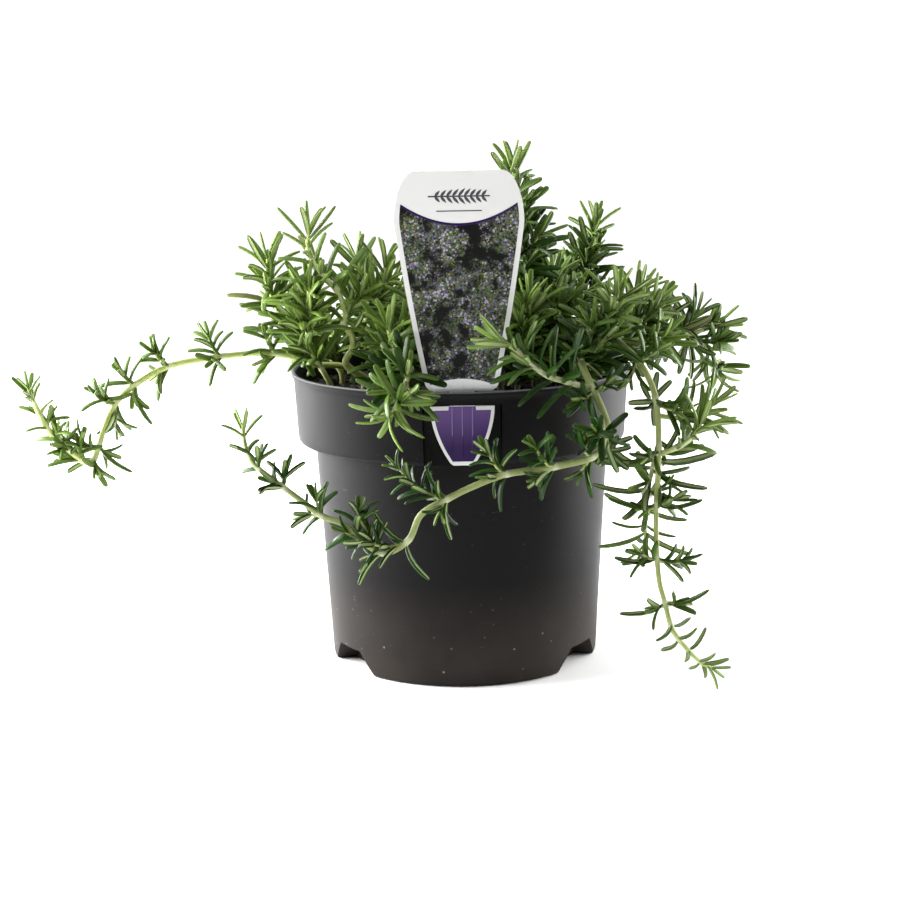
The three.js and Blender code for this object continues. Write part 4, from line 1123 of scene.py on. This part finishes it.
def add_leaf(leaves, random, root, axis, wanted, length, half_width, youth_and_painted_light, bend=-0.4):
    """One leaf with its root at a point of a stem. It leaves along the wanted direction, or along
    the nearest one about the stem's axis that is clear, and no leaf grows where none is. A
    negative bend curves it back, away from the stem's tip."""
    bend = bend + random.uniform(-0.2, 0.2)
    sway = random.uniform(-0.1, 0.1)
    twist = random.uniform(-0.4, 0.4)
    tint = random.uniform(0, 1)
    for angle in TRY_TURNS:
        direction = unit(turned_about(wanted, axis, angle))
        face = unit(axis - direction * np.dot(axis, direction) + 1e-6)
        face = turned_about(face, direction, twist)
        part = np.array([0.3, 0.55, 0.8, 1.0])[:, None]
        line = root + length * (part * direction + bend * part ** 2 * face)
        if np.all(is_open_place(line, half_width + 0.25)):
            leaves.append([*root, *direction, *face, length, half_width, bend, sway, youth_and_painted_light, tint])
            return


def add_shoot(leaves, twigs, random, root, axis, side, size, youth_and_painted_light, reach):
    """A short shoot in a leaf axil: a stalk that turns up towards the light, with close pairs of
    small leaves that get shorter towards its tip. Long shoots lie along a stem that lies. The
    stalk's direction and the leaves' are weighted sums of along, outwards, up and a random part,
    and each pair stands a quarter turn and a little on from the pair before."""
    lying = np.interp(size, [7, 13], [0, 1]) * (1 - axis[2] ** 2)
    broad = max(1.0, 0.5 + 0.5 * reach)
    way = (0.5 + 0.5 * lying) * axis + (0.75 - 0.33 * lying) * side + random.uniform(0.35, 0.65) * UP
    way = unit(way + 0.12 * random.normal(size=3))
    length = size * random.uniform(0.92, 1.08)
    if not np.all(is_open_place(root + way * np.array([[0.6], [1.0]]) * (length + 3), 1.0)):
        way = unit(0.6 * axis + 0.8 * side)
    end = root + way * length
    middle = (root + end) / 2 - 0.1 * length * UP
    twigs.append([root - 0.5 * way, middle, end])
    cross = unit(np.cross(way, random.normal(size=3)))
    pairs = max(1, int(round(length / 2.8)))
    for pair in range(pairs):
        part = (pair + 0.7) / pairs
        at = root + way * length * part - 0.4 * length * part * (1 - part) * UP
        for flip in (-1, 1):
            out = unit(flip * cross + 0.2 * random.normal(size=3))
            wanted = 0.7 * out + (0.78 + 0.2 * part) * way + 0.1 * UP
            long = reach * random.uniform(*SHOOT_LEAF) * (1.06 - 0.3 * part)
            half_width = broad * (1.4 - 0.25 * part)
            add_leaf(leaves, random, at, way, wanted, long, half_width, youth_and_painted_light + 0.15 * part)
        cross = unit(np.cross(way, cross) + 0.25 * cross)
    for flip in (-1, 1):
        wanted = way + 0.3 * flip * cross + 0.12 * random.normal(size=3)
        long = reach * random.uniform(*SHOOT_END_LEAF)
        add_leaf(leaves, random, end - 0.3 * way, way, wanted, long, 1.0, youth_and_painted_light + 0.45, bend=0.0)


def square_to(axis):
    """The direction square to an axis that is nearest to upright, or to +X on an upright axis."""
    lead = np.array([1.0, 0, 0]) if abs(axis[2]) > 0.93 else UP
    return unit(lead - axis * np.dot(axis, lead))


def grow_line(leaves, twigs, random, line):
    """The leaves and axil shoots of a stem or a side shoot, and the close pairs at its tip. Each
    joint is given by the mm along, the turn of its leaf pair and the lengths of its two axil
    shoots. reach scales the leaves, and fresh is painted light, which makes them paler or darker.
    A leaf points outwards and along its stem about equally and a little up, and it is shorter and
    narrower near the tip, where left is small. A hanging stem's leaves curl up."""
    points, tangents, along, joints, reach, freshness_and_painted_light = line
    side = square_to(tangents[-1])
    for joint, turn, *shoots in joints:
        k = int(np.argmin(abs(along - joint)))
        point, axis = points[k], tangents[k]
        left = along[-1] - joint
        # youth is the stem's painted light added to the real youth of the growth near the tip.
        youth_and_painted_light = freshness_and_painted_light + float(np.clip(0.5 - left / 60, 0, 0.5))
        for size, flip in zip(shoots, (0, np.pi)):
            side = turned_about(square_to(axis), axis, np.radians(turn) + flip)
            out = unit(side + 0.12 * random.normal(size=3))
            wanted = 0.72 * out + (0.74 + 0.2 * youth_and_painted_light) * axis + 0.16 * UP
            long = reach * random.uniform(*JOINT_LEAF) * np.interp(left, [4, 34], [0.58, 1])
            half_width = max(1.0, 0.5 + 0.5 * reach) * np.interp(left, [4, 34], [0.95, 1.55])
            bend = -0.4 + 0.4 * min(0, axis[2])
            add_leaf(leaves, random, point, axis, wanted, long, half_width, youth_and_painted_light, bend)
            if size > 2:
                axil = point + 1.2 * axis
                add_shoot(leaves, twigs, random, axil, axis, out, size, youth_and_painted_light + 0.03, reach)
    for number in range(3):
        point, axis = points[-1] - tangents[-1] * (4.2 - 1.9 * number), tangents[-1]
        for flip in (-1, 1):
            wanted = (0.8 - 0.26 * number) * flip * side + 0.85 * axis + 0.05 * UP
            long = reach * (14 - 2.3 * number)
            half_width = (0.4 + 0.6 * reach) * (1.2 - 0.17 * number)
            youth_and_painted_light = 0.5 + 0.2 * number
            bend = -0.1 + 0.5 * min(0, axis[2])
            add_leaf(leaves, random, point, axis, wanted, long, half_width, youth_and_painted_light, bend)
        side = unit(np.cross(axis, side) + 0.2 * side)


def leaf_mesh(leaves):
    """All the leaves of a stem, as arrays over (leaf, ring, corner). Each ring is the outline
    scaled by the half width, on a line that runs straight from the root and bends off as the
    square of the way along. Returns the points, the values for the materials and the faces."""
    leaf = np.array(leaves)
    root, direction, face = leaf[:, 0:3], leaf[:, 3:6], leaf[:, 6:9]
    length, half, bend, sway, youth_and_painted_light, tint = (leaf[:, k][:, None, None] for k in range(9, 15))
    across = np.cross(face, direction)
    along = np.r_[0, LEAF_ALONG, 1][None, :, None]
    spine = root[:, None] + length * (
        along * direction[:, None] + bend * along ** 2 * face[:, None]
        + sway * along ** 2 * across[:, None]
    )
    slope = unit(np.gradient(spine, axis=1))
    up = unit(face[:, None] - slope * np.sum(face[:, None] * slope, axis=-1, keepdims=True))
    aside = np.cross(up, slope)
    width = (half * np.r_[0, LEAF_WIDTHS, 0][None, :, None])[..., None]
    ring = spine[:, :, None] + width * (
        LEAF_RING[:, 0][None, None, :, None] * aside[:, :, None]
        + LEAF_RING[:, 1][None, None, :, None] * up[:, :, None]
    )
    inner = ring[:, 1:-1].reshape(len(leaf), -1, 3)
    points = np.concatenate([spine[:, :1], inner, spine[:, -1:]], axis=1)
    columns = len(LEAF_RING)
    spread = np.r_[0, np.repeat(LEAF_ALONG, columns), 1]
    felt = np.r_[0, np.tile(RING_FELT, len(LEAF_ALONG)), 0]
    groove = np.r_[0, np.tile(RING_GROOVE, len(LEAF_ALONG)), 0]
    count = len(leaf)
    values = {
        "along": np.tile(spread, count), "felt": np.tile(felt, count), "groove": np.tile(groove, count),
        "youth_and_painted_light": np.repeat(youth_and_painted_light.ravel(), len(spread)), "tint": np.repeat(tint.ravel(), len(spread)),
    }
    return points, values, skin(len(LEAF_ALONG), columns)


def stem_mesh(path, tangents, radii, joints, along):
    """One stem: a tube with four blunt corners, which swells at each joint as a bell curve. Its
    section is set square to the plane that lies nearest to its path, found by singular values.
    Returns its points, how woolly each one is, and its faces."""
    plane_normal = np.linalg.svd(path - path.mean(axis=0))[2][2]
    first = unit(np.cross(tangents, plane_normal))
    second = np.cross(tangents, first)
    near = np.exp(-(((along[:, None] - np.array(joints, float)[None]) / 1.5) ** 2)).sum(axis=1)
    near = np.clip(near, 0, 1)
    size = radii * (1 + 0.12 * near)
    turn = 2 * np.pi * np.arange(STEM_COLUMNS) / STEM_COLUMNS
    section = 0.97 + 0.06 * np.cos(4 * turn)
    ring = path[:, None] + size[:, None, None] * section[None, :, None] * (
        np.cos(turn)[None, :, None] * first[:, None] + np.sin(turn)[None, :, None] * second[:, None]
    )
    points = np.vstack([path[:1], ring.reshape(-1, 3), path[-1:]])
    wool = np.r_[near[0], np.repeat(near, STEM_COLUMNS), near[-1]]
    return points, wool, skin(len(path), STEM_COLUMNS)


# Leathery rosemary leaves: deep green with a soft gloss above and a fine groove darkened by painted
# shade, yellow-green in new growth, paler at the stalk, with a pale grey-green felted stripe below. A
# leaf here and there has withered brown, and each stem's leaves carry its painted light. The skin's
# fine pebbling is drawn 0.4 mm wide, coarser than it is.
leaf_skin, tree, shader, place = start_material(
    "rosemary_leaf_leathery", IOR=1.45, Specular_IOR_Level=0.13,
)
given = {
    name: add_node(tree, "ShaderNodeAttribute", {"attribute_name": name}).outputs["Fac"]
    for name in ("along", "felt", "groove", "youth_and_painted_light", "tint")
}
blotch = add_node(tree, "ShaderNodeTexNoise", {"Scale": 350, "Detail": 3}, in_Vector=place).outputs[0]
leaf_colour = add_node(
    tree, "ShaderNodeMix", {"data_type": "RGBA", 6: colour("#112305"), 7: colour("#25450e")},
    in_0=given["tint"],
).outputs[2]
# Each layer over the green: what it follows, the values from none to full, its strength and tone.
# The layer of youth also carries each stem's painted light.
for source, none, full, strength, tone in (
    (given["youth_and_painted_light"], 0.0, 1.0, 1.0, "#728c3c"), (blotch, 0.3, 0.7, 0.3, "#152c0b"),
    (given["along"], 0.16, 0.0, 0.7, "#8b9c58"), (given["tint"], 0.996, 0.999, 0.5, "#5e4a2a"),
    # Painted shade: the groove's layer darkens the bottom of the groove.
    (given["groove"], 0.6, 0.95, 0.6, "#16270b"), (given["felt"], 0.62, 0.97, 0.66, "#99a473"),
):
    mask = add_node(
        tree, "ShaderNodeMapRange", {"From Min": none, "From Max": full, "To Max": strength},
        in_Value=source,
    ).outputs[0]
    leaf_colour = add_node(
        tree, "ShaderNodeMix", {"data_type": "RGBA", 7: colour(tone)}, in_0=mask, in_6=leaf_colour,
    ).outputs[2]
tree.links.new(leaf_colour, shader.inputs["Base Color"])
# The last mask is the felt's: felt is dull.
dull = add_node(
    tree, "ShaderNodeMapRange", {"To Min": 0.36, "To Max": 0.85}, in_Value=mask,
).outputs[0]
tree.links.new(dull, shader.inputs["Roughness"])
pebble = add_node(
    tree, "ShaderNodeTexNoise", {"Scale": 2600, "Detail": 2}, in_Vector=place,
).outputs[0]
relief = add_node(
    tree, "ShaderNodeBump", {"Strength": 0.25, "Distance": 0.00015}, in_Height=pebble,
).outputs[0]
tree.links.new(relief, shader.inputs["Normal"])

# The bark of new rosemary shoots: pale yellow-green and finely felted, with pale wool in the joints
# and brown cork near the soil. Its pale tone of new growth also carries each stem's painted light:
# paler where the lamps light the plant more, darker at the front.
stem_bark, tree, shader, place = start_material("rosemary_stem_felted", Roughness=0.62)
freshness_and_painted_light, aged, woolly = (
    add_node(tree, "ShaderNodeAttribute", {"attribute_name": name}).outputs["Fac"]
    for name in ("youth_and_painted_light", "tint", "felt")
)
streak = add_node(tree, "ShaderNodeTexNoise", {"Scale": 500, "Detail": 4}, in_Vector=place).outputs[0]
bark = add_node(
    tree, "ShaderNodeMix", {"data_type": "RGBA", 6: colour("#616c35"), 7: colour("#7f8950")},
    in_0=streak,
).outputs[2]
for source, strength, tone in (
    (freshness_and_painted_light, 1.0, "#b2bf6e"), (aged, 1.0, "#6f5c3c"), (woolly, 0.45, "#ccd0b0"),
):
    mask = add_node(tree, "ShaderNodeMapRange", {"To Max": strength}, in_Value=source).outputs[0]
    bark = add_node(
        tree, "ShaderNodeMix", {"data_type": "RGBA", 7: colour(tone)}, in_0=mask, in_6=bark,
    ).outputs[2]
tree.links.new(bark, shader.inputs["Base Color"])
relief = add_node(
    tree, "ShaderNodeBump", {"Strength": 0.4, "Distance": 0.0002}, in_Height=streak,
).outputs[0]
tree.links.new(relief, shader.inputs["Normal"])

# Each stem is grown in turn: its own line, then its side shoots. Joints without a list stand closer
# towards the tip, and their shoots get shorter there.
for number, stem in enumerate(stems):
    random = np.random.default_rng(700 + number)
    foot = [(*stem["foot"], z) for z in FOOT_HEIGHTS]
    lines = [([*foot, *stem["route"]], stem["radius"])]
    lines += [(shoot["route"], shoot["radius"]) for shoot in stem["shoots"]]
    # Painted light of the whole stem, which makes its leaves and bark paler or darker.
    stem_painted_light = stem.get("freshness_and_painted_light", 0)
    leaves, twigs, tubes = [], [], []
    for order, (route, radius) in enumerate(lines):
        path, tangents, along = smooth_path(route, STEM_STEP)
        if order == 0 and "joints" in stem:
            joints = stem["joints"]
        else:
            first = stem.get("bare", BARE_FOOT) if order == 0 else BARE_SHOOT
            gaps = np.linspace(0, 1, 40) ** 0.5 * 4.5 + 2.6
            spots = along[-1] - TIP_GAP - np.cumsum(gaps)
            spots = spots[spots > first][::-1]
            count = len(spots)
            turns = random.uniform(0, 360) + 90 * np.arange(count) + random.uniform(-15, 15, count)
            bushy = np.interp(along[-1] - spots, [12, 30], [3, 9]) if order == 0 else 2 + 0 * spots
            sizes = bushy * random.uniform(0.4, 1.3, (2, count))
            sizes = sizes * (random.uniform(size=(2, count)) < 0.8)
            joints = list(zip(spots, turns, *sizes))
        trails = stem["name"].startswith("trail") and order == 0
        reach = TRAIL_REACH if trails else BUSH_REACH
        grow_line(leaves, twigs, random, (path, tangents, along, joints, reach, stem_painted_light))
        radii = np.interp(np.linspace(0, 1, len(path)), np.linspace(0, 1, len(radius)), radius)
        radii[-1] *= 0.6
        age = np.clip(0.9 - along / 38, 0, 1) if order == 0 else 0 * along
        near_tip = np.clip(1 - (along[-1] - along) / 32, 0, 1)
        # Painted light of the stem, added to the real paleness of new growth near the tip.
        freshness_and_painted_light = np.clip(2.2 * stem_painted_light + 0.65 * near_tip, 0, 1)
        spots = [joint[0] for joint in joints]
        tubes.append((*stem_mesh(path, tangents, radii, spots, along), age, freshness_and_painted_light))
    for twig in twigs:
        path, tangents, along = smooth_path(twig, STEM_STEP)
        radii = np.linspace(0.75, 0.45, len(path))
        freshness_and_painted_light = 0.5 + 0 * along
        tubes.append((*stem_mesh(path, tangents, radii, [0.0], along), 0 * along, freshness_and_painted_light))

    # The leaves and the tubes become one mesh, whose first faces are the leaves'.
    leaf_points, values, (leaf_quads, leaf_triangles) = leaf_mesh(leaves)
    points, faces = copies(leaf_points, leaf_quads, leaf_triangles)
    leaf_faces = sum(len(group) for group in faces)
    point_lists, values = [points], {key: [value] for key, value in values.items()}
    offset = len(points)
    for tube_points, tube_wool, groups, *shades in tubes:
        faces += [group + offset for group in groups]
        offset += len(tube_points)
        point_lists.append(tube_points)
        blank = np.zeros(len(tube_points))
        age, freshness_and_painted_light = (
            np.r_[shade[0], np.repeat(shade, STEM_COLUMNS), shade[-1]] for shade in shades
        )
        for key in values:
            values[key].append({"felt": tube_wool, "tint": age, "youth_and_painted_light": freshness_and_painted_light}.get(key, blank))
    piece = make_piece(
        "rosemary_" + stem["name"], np.vstack(point_lists), faces, leaf_skin, stem_bark, sharp=60,
    )
    is_bark = np.arange(len(piece.data.polygons)) >= leaf_faces
    piece.data.polygons.foreach_set("material_index", is_bark.astype(np.int32))
    for key, value in values.items():
        attribute = piece.data.attributes.new(key, "FLOAT", "POINT")
        attribute.data.foreach_set("value", np.concatenate(value).astype(np.float32))
    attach(piece, "root")
    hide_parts("stem_" + stem["name"])


# ---- Floor, light and camera ----
# A plain white table top in an even, bright studio. A low soft panel stands on the left, a weaker
# one on the right, and a small soft light hangs above. The camera stands 0.75 m in front of the
# pot and looks down a little.

# A matt white painted board, 6 m square, just under the pot's base.
floor_paint = start_material("white_matt_table", Base_Color=colour("#fafafa"), Roughness=0.9)[0]
FLOOR_HALF = 3000
FLOOR_Z = -0.05
floor_corners = np.array([(-1, -1, 0), (1, -1, 0), (1, 1, 0), (-1, 1, 0)]) * FLOOR_HALF
floor = make_piece("floor", floor_corners + [0, 0, FLOOR_Z], [[[0, 1, 2, 3]]], floor_paint)

# The studio: white behind and at the sides, brighter above, and darker behind the camera.
world = bpy.data.worlds.new("bright_studio")
world.use_nodes = True
tree = world.node_tree
facing = add_node(tree, "ShaderNodeTexCoord", {}).outputs["Generated"]
facing = add_node(tree, "ShaderNodeSeparateXYZ", {}, in_0=facing)
backdrop = add_node(
    tree, "ShaderNodeMapRange", {"From Min": -0.4, "From Max": 0.2, "To Min": 0.1, "To Max": 1.4},
    in_Value=facing.outputs["Y"],
).outputs[0]
ceiling = add_node(
    tree, "ShaderNodeMapRange", {"From Min": 0.4, "From Max": 0.85, "To Max": 0.6},
    in_Value=facing.outputs["Z"],
).outputs[0]
brightness = add_node(
    tree, "ShaderNodeMath", {"operation": "ADD"}, in_0=backdrop, in_1=ceiling,
).outputs[0]
tree.links.new(brightness, tree.nodes["Background"].inputs["Strength"])
tree.nodes["Background"].inputs["Color"].default_value = (1, 1, 1, 1)
bpy.context.scene.world = world

# Each lamp: where it stands and its width and height in metres, and its power in watts. All face
# the pot's axis, 0.1 m above the floor.
LAMP_AIM = (0, 0, 0.1)
for name, spot, width, height, power in (
    ("left_panel", (-0.6, 0.14, 0.24), 0.8, 0.38, 24.0),
    ("top_softbox", (-0.3, 0.1, 1.1), 0.6, 0.6, 4.0),
    ("right_panel", (0.6, 0.14, 0.16), 0.7, 0.3, 8.0),
):
    lamp = bpy.data.lights.new(name, "AREA")
    lamp.shape = "RECTANGLE"
    lamp.size, lamp.size_y = width, height
    lamp.energy = power
    holder = bpy.data.objects.new(name, lamp)
    holder.location = spot
    holder.rotation_mode = "QUATERNION"
    holder.rotation_quaternion = (Vector(LAMP_AIM) - Vector(spot)).to_track_quat("-Z", "Y")
    bpy.context.scene.collection.objects.link(holder)

# The camera looks down by its pitch and is rolled a little. Its focal length is given in pixels of
# a picture 900 wide.
CAMERA_PLACE = (-0.0049, -0.750, 0.230)
CAMERA_PITCH = np.radians(10.93)
CAMERA_ROLL = np.radians(1.0)
FOCAL_PIXELS = 1832
view = bpy.data.cameras.new("camera")
view.sensor_width = 36
view.lens = FOCAL_PIXELS / 900 * view.sensor_width
view.clip_start, view.clip_end = 0.05, 20
camera = bpy.data.objects.new("camera", view)
bpy.context.scene.collection.objects.link(camera)
right = np.array([1.0, 0, 0])
over = np.array([0, np.sin(CAMERA_PITCH), np.cos(CAMERA_PITCH)])
ahead = np.array([0, np.cos(CAMERA_PITCH), -np.sin(CAMERA_PITCH)])
rolled_right = np.cos(CAMERA_ROLL) * right - np.sin(CAMERA_ROLL) * over
rolled_up = np.sin(CAMERA_ROLL) * right + np.cos(CAMERA_ROLL) * over
axes = np.stack([rolled_right, rolled_up, -ahead], axis=1)
camera.matrix_world = Matrix.Translation(CAMERA_PLACE) @ Matrix(axes.tolist()).to_4x4()
bpy.context.scene.camera = camera
bpy.context.scene.view_settings.view_transform = "Standard"
